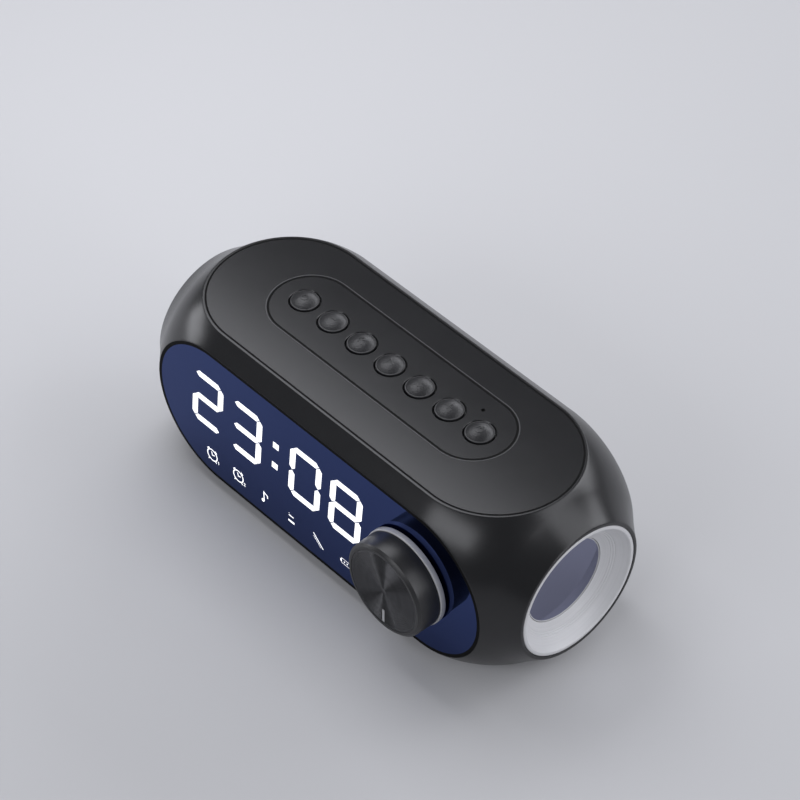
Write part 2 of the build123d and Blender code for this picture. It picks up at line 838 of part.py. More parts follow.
# Rear panel, drilled over each loudspeaker and cut out for the sockets
with BuildPart() as rear_panel:
    with BuildSketch(rear_plane):
        SlotCenterToCenter(body_straight, 2 * (rear_flat_radius - rim_width - seam))
    extrude(amount=-rear_panel_thickness)
    chamfer(rear_panel.faces().sort_by(Axis.Y)[-1].edges(), cover_chamfer)
    with BuildSketch(rear_plane):
        with Locations(*driver_places):
            Circle(grille_hole_radius)
            for ring in range(1, grille_ring_count + 1):
                with PolarLocations(ring * grille_ring_pitch, ring * grille_holes_per_ring):
                    Circle(grille_hole_radius)
        with Locations((-usb_x, usb_z - axis_height)):
            SlotOverall(usb_width + 2 * port_clearance, usb_height + 2 * port_clearance)
        with Locations((-jack_x, jack_z - axis_height)):
            Circle(jack_nose_radius + port_clearance)
        with Locations((-card_x, card_z - axis_height)):
            Rectangle(card_slot_width, card_height)
    extrude(amount=-rear_panel_thickness, mode=Mode.SUBTRACT)
rear_panel.part.label = "rear_panel"
export_step(rear_panel.part, "parts/rear_panel.step")

# Depths in each loudspeaker, measured inwards from the back of the rear panel
magnet_face = driver_depth - magnet_height
coil_inner_radius = coil_radius - coil_wall
gap_outer_radius = coil_radius + coil_gap
gap_depth = coil_depth + cone_travel + coil_gap
basket_mouth_radius = driver_radius - driver_flange_width
neck_depth = magnet_face - cone_travel - coil_gap - cone_thickness
roll_reach = (basket_mouth_radius - cone_radius - surround_gap) / 2
surround_middle_radius = basket_mouth_radius - roll_reach
surround_hollow = roll_reach - surround_thickness


def cap_arc(edge_radius, edge_depth, crown_height):
    """Half of a shallow dome's section, from its rim to its crown."""
    dome_radius = (edge_radius ** 2 + crown_height ** 2) / (2 * crown_height)
    half_radius = edge_radius / 2
    half_drop = dome_radius - sqrt(dome_radius ** 2 - half_radius ** 2)
    crown_depth = edge_depth - crown_height
    return (edge_radius, -edge_depth), (half_radius, -crown_depth - half_drop), (0, -crown_depth)


for side, flat, outward in ends:
    driver_origin = (outward * driver_x, rear_inner_y, axis_height)
    driver_section = Plane(origin=driver_origin, x_dir=(1, 0, 0), z_dir=(0, 0, 1))
    driver_axis = Axis(driver_origin, (0, 1, 0))

    # Basket, bonded by its flange to the back of the rear panel
    with BuildPart() as speaker_basket:
        with BuildSketch(driver_section):
            with BuildLine():
                Polyline(
                    (basket_mouth_radius, 0),
                    (driver_radius, 0),
                    (driver_radius, -driver_flange_thickness),
                    (basket_mouth_radius + basket_wall, -driver_flange_thickness),
                    (basket_rear_radius + basket_wall, -magnet_face),
                    (basket_rear_radius, -magnet_face),
                    (basket_mouth_radius, -driver_flange_thickness),
                    close=True,
                )
            make_face()
        revolve(axis=driver_axis)
    speaker_basket.part.label = f"{side}_speaker_basket"
    export_step(speaker_basket.part, f"parts/{side}_speaker_basket.step")

    # Magnet with a round slot for the voice coil
    with BuildPart() as speaker_magnet:
        with BuildSketch(driver_section):
            with BuildLine():
                Polyline(
                    (0, -magnet_face),
                    (pole_radius, -magnet_face),
                    (pole_radius, -magnet_face - gap_depth),
                    (gap_outer_radius, -magnet_face - gap_depth),
                    (gap_outer_radius, -magnet_face),
                    (magnet_radius, -magnet_face),
                    (magnet_radius, -driver_depth),
                    (0, -driver_depth),
                    close=True,
                )
            make_face()
        revolve(axis=driver_axis)
    speaker_magnet.part.label = f"{side}_speaker_magnet"
    export_step(speaker_magnet.part, f"parts/{side}_speaker_magnet.step")

    # Cone with its dust cap and voice coil
    with BuildPart() as speaker_cone:
        with BuildSketch(driver_section):
            with BuildLine():
                Polyline(
                    (coil_inner_radius, -neck_depth),
                    (coil_inner_radius, -magnet_face - coil_depth),
                    (coil_radius, -magnet_face - coil_depth),
                    (coil_radius, -neck_depth - cone_thickness),
                    (cone_radius, -cone_setback - cone_thickness),
                    (cone_radius, -cone_setback),
                    (coil_radius, -neck_depth),
                )
                outer_crown = cap_arc(coil_radius, neck_depth, dust_cap_height)
                inner_crown = cap_arc(coil_inner_radius, neck_depth, dust_cap_height - coil_wall)
                ThreePointArc(*outer_crown)
                Line(outer_crown[2], inner_crown[2])
                ThreePointArc(*reversed(inner_crown))
            make_face()
        revolve(axis=driver_axis)
    speaker_cone.part.label = f"{side}_speaker_cone"
    export_step(speaker_cone.part, f"parts/{side}_speaker_cone.step")

    # Rubber surround, held in the mouth of the basket
    with BuildPart() as speaker_surround:
        with BuildSketch(driver_section):
            with BuildLine():
                edge_y = -driver_flange_thickness
                ThreePointArc(
                    (surround_middle_radius - roll_reach, edge_y),
                    (surround_middle_radius, edge_y + roll_reach),
                    (surround_middle_radius + roll_reach, edge_y),
                )
                Line(
                    (surround_middle_radius + roll_reach, edge_y),
                    (surround_middle_radius + surround_hollow, edge_y),
                )
                ThreePointArc(
                    (surround_middle_radius + surround_hollow, edge_y),
                    (surround_middle_radius, edge_y + surround_hollow),
                    (surround_middle_radius - surround_hollow, edge_y),
                )
                Line(
                    (surround_middle_radius - surround_hollow, edge_y),
                    (surround_middle_radius - roll_reach, edge_y),
                )
            make_face()
        revolve(axis=driver_axis)
    speaker_surround.part.label = f"{side}_speaker_surround"
    export_step(speaker_surround.part, f"parts/{side}_speaker_surround.step")

# Main board, held on four standoffs of the bottom cover
with BuildPart() as main_board:
    with BuildSketch(Plane.XY.offset(main_board_bottom_z)):
        with Locations((0, main_board_y)):
            Rectangle(main_board_width, main_board_length)
        with Locations(*standoff_places):
            Circle(screw_radius + screw_clearance, mode=Mode.SUBTRACT)
    extrude(amount=board_thickness)
main_board.part.label = "main_board"
export_step(main_board.part, "parts/main_board.step")

# Charging socket: a flat shell with a tongue inside
with BuildPart() as usb_socket:
    with BuildSketch(rear_inner_plane):
        with Locations((-usb_x, usb_z - axis_height)):
            SlotOverall(usb_width, usb_height)
    extrude(amount=-usb_length)
    with BuildSketch(rear_inner_plane):
        with Locations((-usb_x, usb_z - axis_height)):
            SlotOverall(usb_width - 2 * usb_wall, usb_height - 2 * usb_wall)
            Rectangle(usb_tongue_width, usb_tongue_thickness, mode=Mode.SUBTRACT)
    extrude(amount=usb_wall - usb_length, mode=Mode.SUBTRACT)
usb_socket.part.label = "usb_socket"
export_step(usb_socket.part, "parts/usb_socket.step")

# Audio jack with a round nose in the rear panel
with BuildPart() as audio_jack:
    with BuildSketch(rear_inner_plane):
        with Locations((-jack_x, jack_z - axis_height)):
            Rectangle(jack_width, jack_height)
    extrude(amount=-jack_length)
    with BuildSketch(rear_inner_plane):
        with Locations((-jack_x, jack_z - axis_height)):
            Circle(jack_nose_radius)
    extrude(amount=rear_panel_thickness)
    with BuildSketch(rear_plane):
        with Locations((-jack_x, jack_z - axis_height)):
            Circle(jack_bore_radius)
    extrude(amount=-jack_length, mode=Mode.SUBTRACT)
audio_jack.part.label = "audio_jack"
export_step(audio_jack.part, "parts/audio_jack.step")

# Memory card reader, open to the rear
with BuildPart() as card_reader:
    with BuildSketch(rear_inner_plane):
        with Locations((-card_x, card_z - axis_height)):
            Rectangle(card_width, card_height)
    extrude(amount=-card_length)
    with BuildSketch(rear_inner_plane):
        with Locations((-card_x, card_z - axis_height)):
            Rectangle(card_slot_width, card_slot_height)
    extrude(amount=card_height - card_length, mode=Mode.SUBTRACT)
card_reader.part.label = "card_reader"
export_step(card_reader.part, "parts/card_reader.step")

# Battery pack and the foam pad that holds it to the display board
with BuildPart() as battery_pad:
    with BuildSketch(display_board_back):
        with Locations((battery_x, 0)):
            Rectangle(battery_length - 2 * pad_inset, battery_height - 2 * pad_inset)
    extrude(amount=-pad_thickness)
battery_pad.part.label = "battery_pad"
export_step(battery_pad.part, "parts/battery_pad.step")

with BuildPart() as battery_pack:
    with BuildSketch(display_board_back.offset(-pad_thickness)):
        with Locations((battery_x, 0)):
            RectangleRounded(battery_length, battery_height, battery_round)
    extrude(amount=-battery_depth)
battery_pack.part.label = "battery_pack"
export_step(battery_pack.part, "parts/battery_pack.step")

# Ribbon cable between the two boards, passing under the battery pack
display_back_y = front_y + lens_thickness + reflector_depth + board_thickness
ribbon_top_z = axis_height - battery_height / 2 - ribbon_clearance
ribbon_low_z = main_board_top_z + ribbon_thickness / 2
ribbon_land_y = max(main_board_front_y, display_back_y + 2 * ribbon_reach)
with BuildPart() as ribbon_cable:
    with BuildSketch(Plane.YZ.offset(ribbon_x - ribbon_width / 2)):
        with BuildLine() as ribbon_path:
            FilletPolyline(
                (display_back_y, ribbon_top_z),
                (display_back_y + ribbon_reach, ribbon_top_z),
                (ribbon_land_y, ribbon_low_z),
                (ribbon_land_y + ribbon_reach, ribbon_low_z),
                radius=ribbon_bend,
            )
        trace(line_width=ribbon_thickness)
    extrude(amount=ribbon_width)
ribbon_cable.part.label = "ribbon_cable"
export_step(ribbon_cable.part, "parts/ribbon_cable.step")

# Bottom cover with standoffs, a recess for the foot and countersunk screw holes
counterbore_depth = cover_screw_recess + screw_head_height
with BuildPart() as bottom_cover:
    with BuildSketch(Plane.XY.offset(foot_proud)):
        SlotCenterToCenter(body_straight, 2 * cover_outline_radius)
    extrude(amount=bottom_cover_thickness)
    chamfer(bottom_cover.faces().sort_by(Axis.Z)[0].edges(), cover_chamfer)
    with BuildSketch(Plane.XY.offset(cover_top_z)):
        with Locations(*standoff_places):
            Circle(standoff_radius)
    extrude(amount=main_board_bottom_z - cover_top_z)
    with BuildSketch(Plane.XY.offset(main_board_bottom_z)):
        with Locations(*standoff_places):
            Circle(screw_radius + screw_clearance)
    extrude(amount=-pilot_depth, mode=Mode.SUBTRACT)
    with BuildSketch(Plane.XY.offset(foot_proud)):
        SlotCenterToCenter(foot_straight, 2 * (foot_radius + seam))
    extrude(amount=foot_sunk, mode=Mode.SUBTRACT)
    with BuildSketch(Plane.XY.offset(foot_proud)):
        with Locations(*cover_screw_places):
            Circle(screw_head_radius + screw_clearance)
    extrude(amount=counterbore_depth, mode=Mode.SUBTRACT)
    with BuildSketch(Plane.XY.offset(foot_proud)):
        with Locations(*cover_screw_places):
            Circle(screw_radius + screw_clearance)
    extrude(amount=bottom_cover_thickness, mode=Mode.SUBTRACT)
bottom_cover.part.label = "bottom_cover"
export_step(bottom_cover.part, "parts/bottom_cover.step")

# Rubber foot that the object stands on
with BuildPart() as foot_pad:
    with BuildSketch(Plane.XY):
        SlotCenterToCenter(foot_straight, 2 * foot_radius)
    extrude(amount=foot_proud + foot_sunk)
    chamfer(foot_pad.faces().sort_by(Axis.Z)[0].edges(), foot_chamfer)
foot_pad.part.label = "foot_pad"
export_step(foot_pad.part, "parts/foot_pad.step")

# Screws of the bottom cover, heads down
with BuildPart() as cover_screws:
    with BuildSketch(Plane.XY.offset(foot_proud + cover_screw_recess)):
        with Locations(*cover_screw_places):
            Circle(screw_head_radius)
    extrude(amount=screw_head_height)
    with BuildSketch(Plane.XY.offset(foot_proud + counterbore_depth)):
        with Locations(*cover_screw_places):
            Circle(screw_radius)
    extrude(amount=bottom_cover_thickness - counterbore_depth + screw_bite)
cover_screws.part.label = "cover_screws"
export_step(cover_screws.part, "parts/cover_screws.step")

# Screws of both circuit boards
with BuildPart() as board_screws:
    with BuildSketch(Plane.XY.offset(button_board_bottom_z)):
        with Locations(*post_places):
            Circle(screw_head_radius)
    extrude(amount=-screw_head_height)
    with BuildSketch(Plane.XY.offset(button_board_bottom_z)):
        with Locations(*post_places):
            Circle(screw_radius)
    extrude(amount=board_thickness + screw_bite)
    with BuildSketch(Plane.XY.offset(main_board_top_z)):
        with Locations(*standoff_places):
            Circle(screw_head_radius)
    extrude(amount=screw_head_height)
    with BuildSketch(Plane.XY.offset(main_board_top_z)):
        with Locations(*standoff_places):
            Circle(screw_radius)
    extrude(amount=-board_thickness - screw_bite)
board_screws.part.label = "board_screws"
export_step(board_screws.part, "parts/board_screws.step")
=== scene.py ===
import json
import math

import bmesh
import bpy
from mathutils import Matrix, Vector


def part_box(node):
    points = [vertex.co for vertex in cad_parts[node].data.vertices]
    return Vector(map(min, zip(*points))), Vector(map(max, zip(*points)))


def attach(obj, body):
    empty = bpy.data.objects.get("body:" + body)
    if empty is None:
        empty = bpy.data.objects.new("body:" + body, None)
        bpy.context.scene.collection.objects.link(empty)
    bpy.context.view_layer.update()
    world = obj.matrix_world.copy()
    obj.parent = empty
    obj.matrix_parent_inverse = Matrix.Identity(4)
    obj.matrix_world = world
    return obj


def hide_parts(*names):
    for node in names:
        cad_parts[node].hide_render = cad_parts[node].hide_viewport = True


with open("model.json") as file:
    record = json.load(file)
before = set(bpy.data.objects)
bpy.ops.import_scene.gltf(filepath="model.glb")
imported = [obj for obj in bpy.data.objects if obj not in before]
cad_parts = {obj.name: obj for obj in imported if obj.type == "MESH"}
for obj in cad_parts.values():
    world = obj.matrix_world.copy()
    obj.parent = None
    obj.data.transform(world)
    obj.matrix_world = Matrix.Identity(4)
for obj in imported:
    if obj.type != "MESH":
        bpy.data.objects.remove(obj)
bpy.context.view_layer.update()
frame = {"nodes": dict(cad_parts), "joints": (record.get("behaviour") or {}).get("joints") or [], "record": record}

mm = 0.001
tiny = 1e-7
nodes = frame["nodes"]
joints = {joint["name"]: joint for joint in frame["joints"]}
slotOfNode = {part["node"]: part["material_slot"] for part in frame["record"]["subparts"]}
print("frame loaded:", len(nodes), "nodes")

# places read from the frame
bodyLow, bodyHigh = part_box("main_housing")
topZ = bodyHigh.z
frontY = bodyLow.y
rearY = bodyHigh.y
endX = bodyHigh.x
knobX, _, axisZ = joints["knob_turn"]["pos_m"]
axisPoint = (0.0, 0.0, axisZ)
knobPoint = (knobX, frontY, axisZ)


# meshes

def addPiece(name, bm, material, body, replaced=(), sharpAngle=32.0):
    mesh = bpy.data.meshes.new(name)
    bm.to_mesh(mesh)
    bm.free()
    mesh.polygons.foreach_set("use_smooth", [True] * len(mesh.polygons))
    mesh.set_sharp_from_angle(angle=math.radians(sharpAngle))
    mesh.materials.append(material)
    piece = bpy.data.objects.new(name, mesh)
    bpy.context.scene.collection.objects.link(piece)
    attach(piece, body)
    if replaced:
        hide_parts(*replaced)


def softCorners(points, arcSteps=4):
    # rounds each (r, h, radius) corner of an open outline
    outline = []
    for index, (r, h, radius) in enumerate(points):
        corner = Vector((r, h))
        if radius == 0 or index in (0, len(points) - 1):
            outline.append(corner)
            continue
        toBack = (Vector(points[index - 1][:2]) - corner).normalized()
        toNext = (Vector(points[index + 1][:2]) - corner).normalized()
        half = toBack.angle(toNext) / 2
        middle = corner + (toBack + toNext).normalized() * radius / math.sin(half)
        start = corner + toBack * radius / math.tan(half) - middle
        turn = start.angle_signed(corner + toNext * radius / math.tan(half) - middle)
        for step in range(arcSteps + 1):
            spun = Matrix.Rotation(-turn * step / arcSteps, 2) @ start
            outline.append(middle + spun)
    return outline


def arcThrough(start, middle, end, steps):
    # points on the circle through three points of a section
    ax, ay = start
    bx, by = middle
    cx, cy = end
    d = 2 * (ax * (by - cy) + bx * (cy - ay) + cx * (ay - by))
    aa, bb, cc = ax * ax + ay * ay, bx * bx + by * by, cx * cx + cy * cy
    centre = Vector(((aa * (by - cy) + bb * (cy - ay) + cc * (ay - by)) / d,
                     (aa * (cx - bx) + bb * (ax - cx) + cc * (bx - ax)) / d))
    spoke = Vector(start) - centre
    turn = spoke.angle_signed(Vector(end) - centre)
    return [centre + Matrix.Rotation(-turn * step / steps, 2) @ spoke for step in range(steps + 1)]


def lathe(outline, place, steps, closed=False):
    # turns an (r, h) outline about the local Z of a placing matrix; r may depend on the angle
    bm = bmesh.new()
    rings = []
    for r, h in outline:
        if not callable(r) and r < tiny:
            rings.append([bm.verts.new(place @ Vector((0, 0, h)))] * steps)
            continue
        ring = []
        for step in range(steps):
            angle = 2 * math.pi * step / steps
            reach = r(angle) if callable(r) else r
            ring.append(bm.verts.new(place @ Vector((reach * math.cos(angle), reach * math.sin(angle), h))))
        rings.append(ring)
    pairs = list(zip(rings, rings[1:]))
    if closed:
        pairs.append((rings[-1], rings[0]))
    for low, high in pairs:
        for step in range(steps):
            after = (step + 1) % steps
            corners = dict.fromkeys((low[step], low[after], high[after], high[step]))
            if len(corners) > 2:
                bm.faces.new(corners)
    bmesh.ops.recalc_face_normals(bm, faces=bm.faces)
    return bm


def merge(bm, other):
    # moves the faces of a second mesh into the first
    spare = bpy.data.meshes.new("spare")
    other.to_mesh(spare)
    other.free()
    bm.from_mesh(spare)
    bpy.data.meshes.remove(spare)


def stroke(bm, points, width, thickness, lift, closed):
    # a flat ribbon along 2D points, raised by lift(x, y) and given a thickness
    sharpestBend = 0.5
    count = len(points)
    left, right = [], []
    for index, point in enumerate(points):
        here = Vector(point)
        back = Vector(points[index - 1]) if closed or index else here
        ahead = Vector(points[(index + 1) % count]) if closed or index < count - 1 else here
        inWay = (here - back).normalized()
        outWay = (ahead - here).normalized()
        way = (inWay + outWay).normalized()
        across = Vector((-way.y, way.x)) * width / 2
        bend = max(way.dot(outWay if outWay.length else inWay), sharpestBend)
        for side, row in ((1, left), (-1, right)):
            spot = here + across * side / bend
            base = lift(spot.x, spot.y)
            low = bm.verts.new((spot.x, spot.y, base))
            high = bm.verts.new((spot.x, spot.y, base + thickness))
            row.append((low, high))
    steps = range(count if closed else count - 1)
    for step in steps:
        after = (step + 1) % count
        bm.faces.new((left[step][1], right[step][1], right[after][1], left[after][1]))
        bm.faces.new((left[step][0], left[after][0], right[after][0], right[step][0]))
        bm.faces.new((left[step][0], left[step][1], left[after][1], left[after][0]))
        bm.faces.new((right[step][0], right[after][0], right[after][1], right[step][1]))
    if not closed:
        for end in (0, count - 1):
            bm.faces.new((left[end][0], right[end][0], right[end][1], left[end][1]))


def plate(bm, points, thickness, lift):
    # a flat polygon given a thickness
    low = [bm.verts.new((x, y, lift(x, y))) for x, y in points]
    high = [bm.verts.new((x, y, lift(x, y) + thickness)) for x, y in points]
    bm.faces.new(high)
    bm.faces.new(low[::-1])
    for index in range(len(points)):
        after = (index + 1) % len(points)
        bm.faces.new((low[index], low[after], high[after], high[index]))


def circlePoints(x, y, radius, steps, start=0.0, end=360.0):
    # points on a circle, or on an arc between two angles in degrees
    count = steps if end - start >= 360.0 else steps + 1
    points = []
    for step in range(count):
        angle = math.radians(start + (end - start) * step / steps)
        points.append((x + radius * math.cos(angle), y + radius * math.sin(angle)))
    return points


def placed(origin, xWay, zWay):
    # matrix that puts local X and Z along two directions
    z = Vector(zWay)
    x = Vector(xWay)
    y = z.cross(x)
    turn = Matrix((x, y, z)).transposed().to_4x4()
    return Matrix.Translation(Vector(origin)) @ turn


def flatAt(height):
    # a lift that is the same everywhere
    return lambda x, y: height


frontPlace = placed((0, frontY, axisZ), (1, 0, 0), (0, -1, 0))


# shader groups shared by the finishes
floatKind = "NodeSocketFloat"
vectorKind = "NodeSocketVector"


def startGroup(name, inputs, outputs):
    tree = bpy.data.node_groups.new(name, "ShaderNodeTree")
    for label, kind, value in inputs:
        socket = tree.interface.new_socket(name=label, in_out="INPUT", socket_type=kind)
        socket.default_value = value
    for label, kind in outputs:
        tree.interface.new_socket(name=label, in_out="OUTPUT", socket_type=kind)
    return tree, tree.nodes.new("NodeGroupInput"), tree.nodes.new("NodeGroupOutput")


def mathNode(tree, operation, first, second):
    node = tree.nodes.new("ShaderNodeMath")
    node.operation = operation
    for socket, value in zip(node.inputs, (first, second)):
        if isinstance(value, (int, float)):
            socket.default_value = value
        else:
            tree.links.new(value, socket)
    return node.outputs[0]


def vectorNode(tree, operation, first, second=None):
    node = tree.nodes.new("ShaderNodeVectorMath")
    node.operation = operation
    tree.links.new(first, node.inputs[0])
    if second is not None:
        tree.links.new(second, node.inputs[1])
    return node.outputs["Value" if operation in ("LENGTH", "DOT_PRODUCT") else "Vector"]


def noiseNode(tree, vector, scale, detail):
    node = tree.nodes.new("ShaderNodeTexNoise")
    node.inputs["Detail"].default_value = detail
    tree.links.new(vector, node.inputs["Vector"])
    if isinstance(scale, (int, float)):
        node.inputs["Scale"].default_value = scale
    else:
        tree.links.new(scale, node.inputs["Scale"])
    return node.outputs["Fac"]


grainValues = {
    "fineDetail": 2.0,
    "broadScale": 55.0,
    "broadDetail": 3.0,
    "smearScale": 240.0,
    "smearDetail": 4.0,
}


def makeGrainGroup():
    # moulded grain: fine height, with roughness and tone that drift a little
    s = grainValues
    tree, given, result = startGroup(
        "mouldGrain",
        [("Grain Scale", floatKind, 4000.0), ("Rough", floatKind, 0.4), ("Rough Drift", floatKind, 0.1)],
        [("Height", floatKind), ("Rough", floatKind), ("Tone", floatKind)])
    where = tree.nodes.new("ShaderNodeTexCoord").outputs["Object"]
    fine = noiseNode(tree, where, given.outputs["Grain Scale"], s["fineDetail"])
    broad = noiseNode(tree, where, s["broadScale"], s["broadDetail"])
    smear = noiseNode(tree, where, s["smearScale"], s["smearDetail"])
    drift = mathNode(tree, "SUBTRACT", mathNode(tree, "ADD", broad, smear), 1.0)
    spread = mathNode(tree, "MULTIPLY", drift, given.outputs["Rough Drift"])
    halfFine = mathNode(tree, "MULTIPLY", fine, 0.5)
    halfBroad = mathNode(tree, "MULTIPLY", broad, 0.5)
    tree.links.new(fine, result.inputs["Height"])
    tree.links.new(mathNode(tree, "ADD", given.outputs["Rough"], spread), result.inputs["Rough"])
    tree.links.new(mathNode(tree, "ADD", halfFine, halfBroad), result.inputs["Tone"])
    return tree


def makeTurnedGroup():
    # fine lines left by a lathe, in rings about an axis through a point
    tree, given, result = startGroup(
        "turnedLines",
        [("Centre", vectorKind, (0, 0, 0)), ("Axis", vectorKind, (1, 0, 0)),
         ("Line Scale", floatKind, 3000.0), ("Rough", floatKind, 0.3), ("Rough Drift", floatKind, 0.2)],
        [("Lines", floatKind), ("Rough", floatKind)])
    where = tree.nodes.new("ShaderNodeTexCoord").outputs["Object"]
    axis = given.outputs["Axis"]
    fromCentre = vectorNode(tree, "SUBTRACT", where, given.outputs["Centre"])
    across = vectorNode(tree, "CROSS_PRODUCT", fromCentre, axis)
    ringPlace = tree.nodes.new("ShaderNodeCombineXYZ")
    tree.links.new(vectorNode(tree, "LENGTH", across), ringPlace.inputs["X"])
    tree.links.new(vectorNode(tree, "DOT_PRODUCT", fromCentre, axis), ringPlace.inputs["Y"])
    lines = noiseNode(tree, ringPlace.outputs["Vector"], given.outputs["Line Scale"], detail=3.0)
    drift = mathNode(tree, "SUBTRACT", lines, 0.5)
    spread = mathNode(tree, "MULTIPLY", drift, given.outputs["Rough Drift"])
    tree.links.new(lines, result.inputs["Lines"])
    tree.links.new(mathNode(tree, "ADD", given.outputs["Rough"], spread), result.inputs["Rough"])
    return tree


dustValues = {
    "speckScale": 900.0,
    "speckDetail": 4.0,
    "speckPower": 3.0,
    "cloudScale": 40.0,
    "cloudDetail": 2.0,
    "tone": (0.45, 0.44, 0.42),
}


def makeDustGroup():
    # pale dust that settles on faces turned up
    s = dustValues
    tree, given, result = startGroup("settledDust", [("Amount", floatKind, 0.1)], [("Mask", floatKind)])
    where = tree.nodes.new("ShaderNodeTexCoord").outputs["Object"]
    upward = tree.nodes.new("ShaderNodeSeparateXYZ")
    tree.links.new(tree.nodes.new("ShaderNodeNewGeometry").outputs["Normal"], upward.inputs[0])
    facing = mathNode(tree, "MAXIMUM", upward.outputs["Z"], 0.0)
    speckle = noiseNode(tree, where, s["speckScale"], s["speckDetail"])
    specks = mathNode(tree, "POWER", speckle, s["speckPower"])
    clouds = noiseNode(tree, where, s["cloudScale"], s["cloudDetail"])
    mask = mathNode(tree, "MULTIPLY", mathNode(tree, "MULTIPLY", facing, specks), clouds)
    tree.links.new(mathNode(tree, "MULTIPLY", mask, given.outputs["Amount"]), result.inputs["Mask"])
    return tree


grainGroup = makeGrainGroup()
turnedGroup = makeTurnedGroup()
dustGroup = makeDustGroup()


def startMaterial(name):
    material = bpy.data.materials.new(name)
    material.use_nodes = True
    tree = material.node_tree
    shader = tree.nodes["Principled BSDF"]
    return material, tree, shader


def placeGroup(tree, group, values):
    node = tree.nodes.new("ShaderNodeGroup")
    node.node_tree = group
    for label, value in values.items():
        node.inputs[label].default_value = value
    return node


def tintBetween(tree, factor, dark, light, shader):
    mix = tree.nodes.new("ShaderNodeMix")
    mix.data_type = "RGBA"
    tree.links.new(factor, mix.inputs["Factor"])
    mix.inputs["A"].default_value = (*dark, 1.0)
    mix.inputs["B"].default_value = (*light, 1.0)
    tree.links.new(mix.outputs["Result"], shader.inputs["Base Color"])
    return mix


def bumpFrom(tree, height, strength, distance, shader):
    bump = tree.nodes.new("ShaderNodeBump")
    bump.inputs["Strength"].default_value = strength
    bump.inputs["Distance"].default_value = distance
    tree.links.new(height, bump.inputs["Height"])
    tree.links.new(bump.outputs["Normal"], shader.inputs["Normal"])


def mouldedFinish(name, dark, light, rough, drift=0.08, grain=4200.0, depth=0.02 * mm, strength=0.25,
                  dust=0.0, metallic=0.0, specular=0.5):
    # moulded or painted surface with fine grain
    material, tree, shader = startMaterial(name)
    shader.inputs["Metallic"].default_value = metallic
    shader.inputs["Specular IOR Level"].default_value = specular
    fine = placeGroup(tree, grainGroup, {"Grain Scale": grain, "Rough": rough, "Rough Drift": drift})
    mix = tintBetween(tree, fine.outputs["Tone"], dark, light, shader)
    if dust:
        veil = placeGroup(tree, dustGroup, {"Amount": dust})
        over = tintBetween(tree, veil.outputs["Mask"], dark, dustValues["tone"], shader)
        tree.links.new(mix.outputs["Result"], over.inputs["A"])
    tree.links.new(fine.outputs["Rough"], shader.inputs["Roughness"])
    bumpFrom(tree, fine.outputs["Height"], strength, depth, shader)
    return material


def turnedFinish(name, dark, light, rough, centre, axis, drift=0.15, lines=2600.0, depth=0.012 * mm,
                 strength=0.3, metallic=1.0):
    # metal with lathe lines round an axis
    material, tree, shader = startMaterial(name)
    shader.inputs["Metallic"].default_value = metallic
    turned = placeGroup(tree, turnedGroup, {"Centre": centre, "Axis": axis, "Line Scale": lines,
                                            "Rough": rough, "Rough Drift": drift})
    tintBetween(tree, turned.outputs["Lines"], dark, light, shader)
    tree.links.new(turned.outputs["Rough"], shader.inputs["Roughness"])
    bumpFrom(tree, turned.outputs["Lines"], strength, depth, shader)
    return material


knobAxis = (0, 1, 0)
bodyAxis = (1, 0, 0)

bodyPlastic = mouldedFinish("bodySatinBlack", (0.005, 0.005, 0.006), (0.008, 0.008, 0.009), 0.26,
                            drift=0.04, grain=3000.0, strength=0.32, dust=0.02)
panelPlastic = mouldedFinish("panelSatinBlack", (0.005, 0.005, 0.006), (0.008, 0.008, 0.009), 0.19,
                             drift=0.03, grain=5200.0, strength=0.12, dust=0.02)
# painted highlight: a paler finish standing in for light caught on the edge of the button panel's opening
panelEdgeHighlight = mouldedFinish("panelEdgePaintedHighlight", (0.03, 0.03, 0.033), (0.045, 0.045, 0.048), 0.36)
# painted shade: a near-black finish with little gloss, standing in for shade in seams and gaps
paintedShadeBlack = mouldedFinish("paintedShadeBlack", (0.002, 0.002, 0.002), (0.004, 0.004, 0.004), 0.7, specular=0.1)
buttonPlastic = mouldedFinish("buttonCharcoal", (0.008, 0.008, 0.009), (0.018, 0.018, 0.020), 0.40,
                              grain=1700.0, depth=0.12 * mm, strength=0.8, dust=0.02)
knobBlack = turnedFinish("knobBlackAnodised", (0.010, 0.010, 0.011), (0.02, 0.02, 0.021), 0.36,
                         knobPoint, knobAxis, metallic=0.0)
knobFaceBlack = turnedFinish("knobFaceTurned", (0.04, 0.04, 0.042), (0.10, 0.10, 0.104), 0.22,
                             knobPoint, knobAxis)
knobSilver = turnedFinish("knobRingSilver", (0.40, 0.40, 0.41), (0.60, 0.60, 0.61), 0.42,
                          knobPoint, knobAxis, metallic=0.25)
endSilver = turnedFinish("endBowlSilver", (0.54, 0.54, 0.55), (0.66, 0.66, 0.67), 0.52,
                         axisPoint, bodyAxis, metallic=0.15)
markPaint = mouldedFinish("markPaint", (0.38, 0.38, 0.39), (0.48, 0.48, 0.49), 0.45)


def mirrorFinish(name, dark, light, rough):
    # half mirror: colour drifts slightly, with faint smears in its gloss
    return mouldedFinish(name, dark, light, rough, drift=0.03, grain=300.0, strength=0.0, metallic=1.0)


lensNavy = mirrorFinish("lensNavyMirror", (0.008, 0.030, 0.15), (0.010, 0.036, 0.168), 0.06)
capMirror = mirrorFinish("capMirror", (0.19, 0.20, 0.29), (0.21, 0.22, 0.32), 0.05)


def makeLight():
    # light that comes through the lens: white, a little uneven along each bar
    material, tree, shader = startMaterial("displayLight")
    fine = placeGroup(tree, grainGroup, {"Grain Scale": 700.0, "Rough": 0.4, "Rough Drift": 0.05})
    mix = tintBetween(tree, fine.outputs["Tone"], (0.93, 0.95, 1.0), (1.0, 1.0, 0.98), shader)
    tree.links.new(mix.outputs["Result"], shader.inputs["Emission Color"])
    shader.inputs["Emission Strength"].default_value = 1.0
    return material


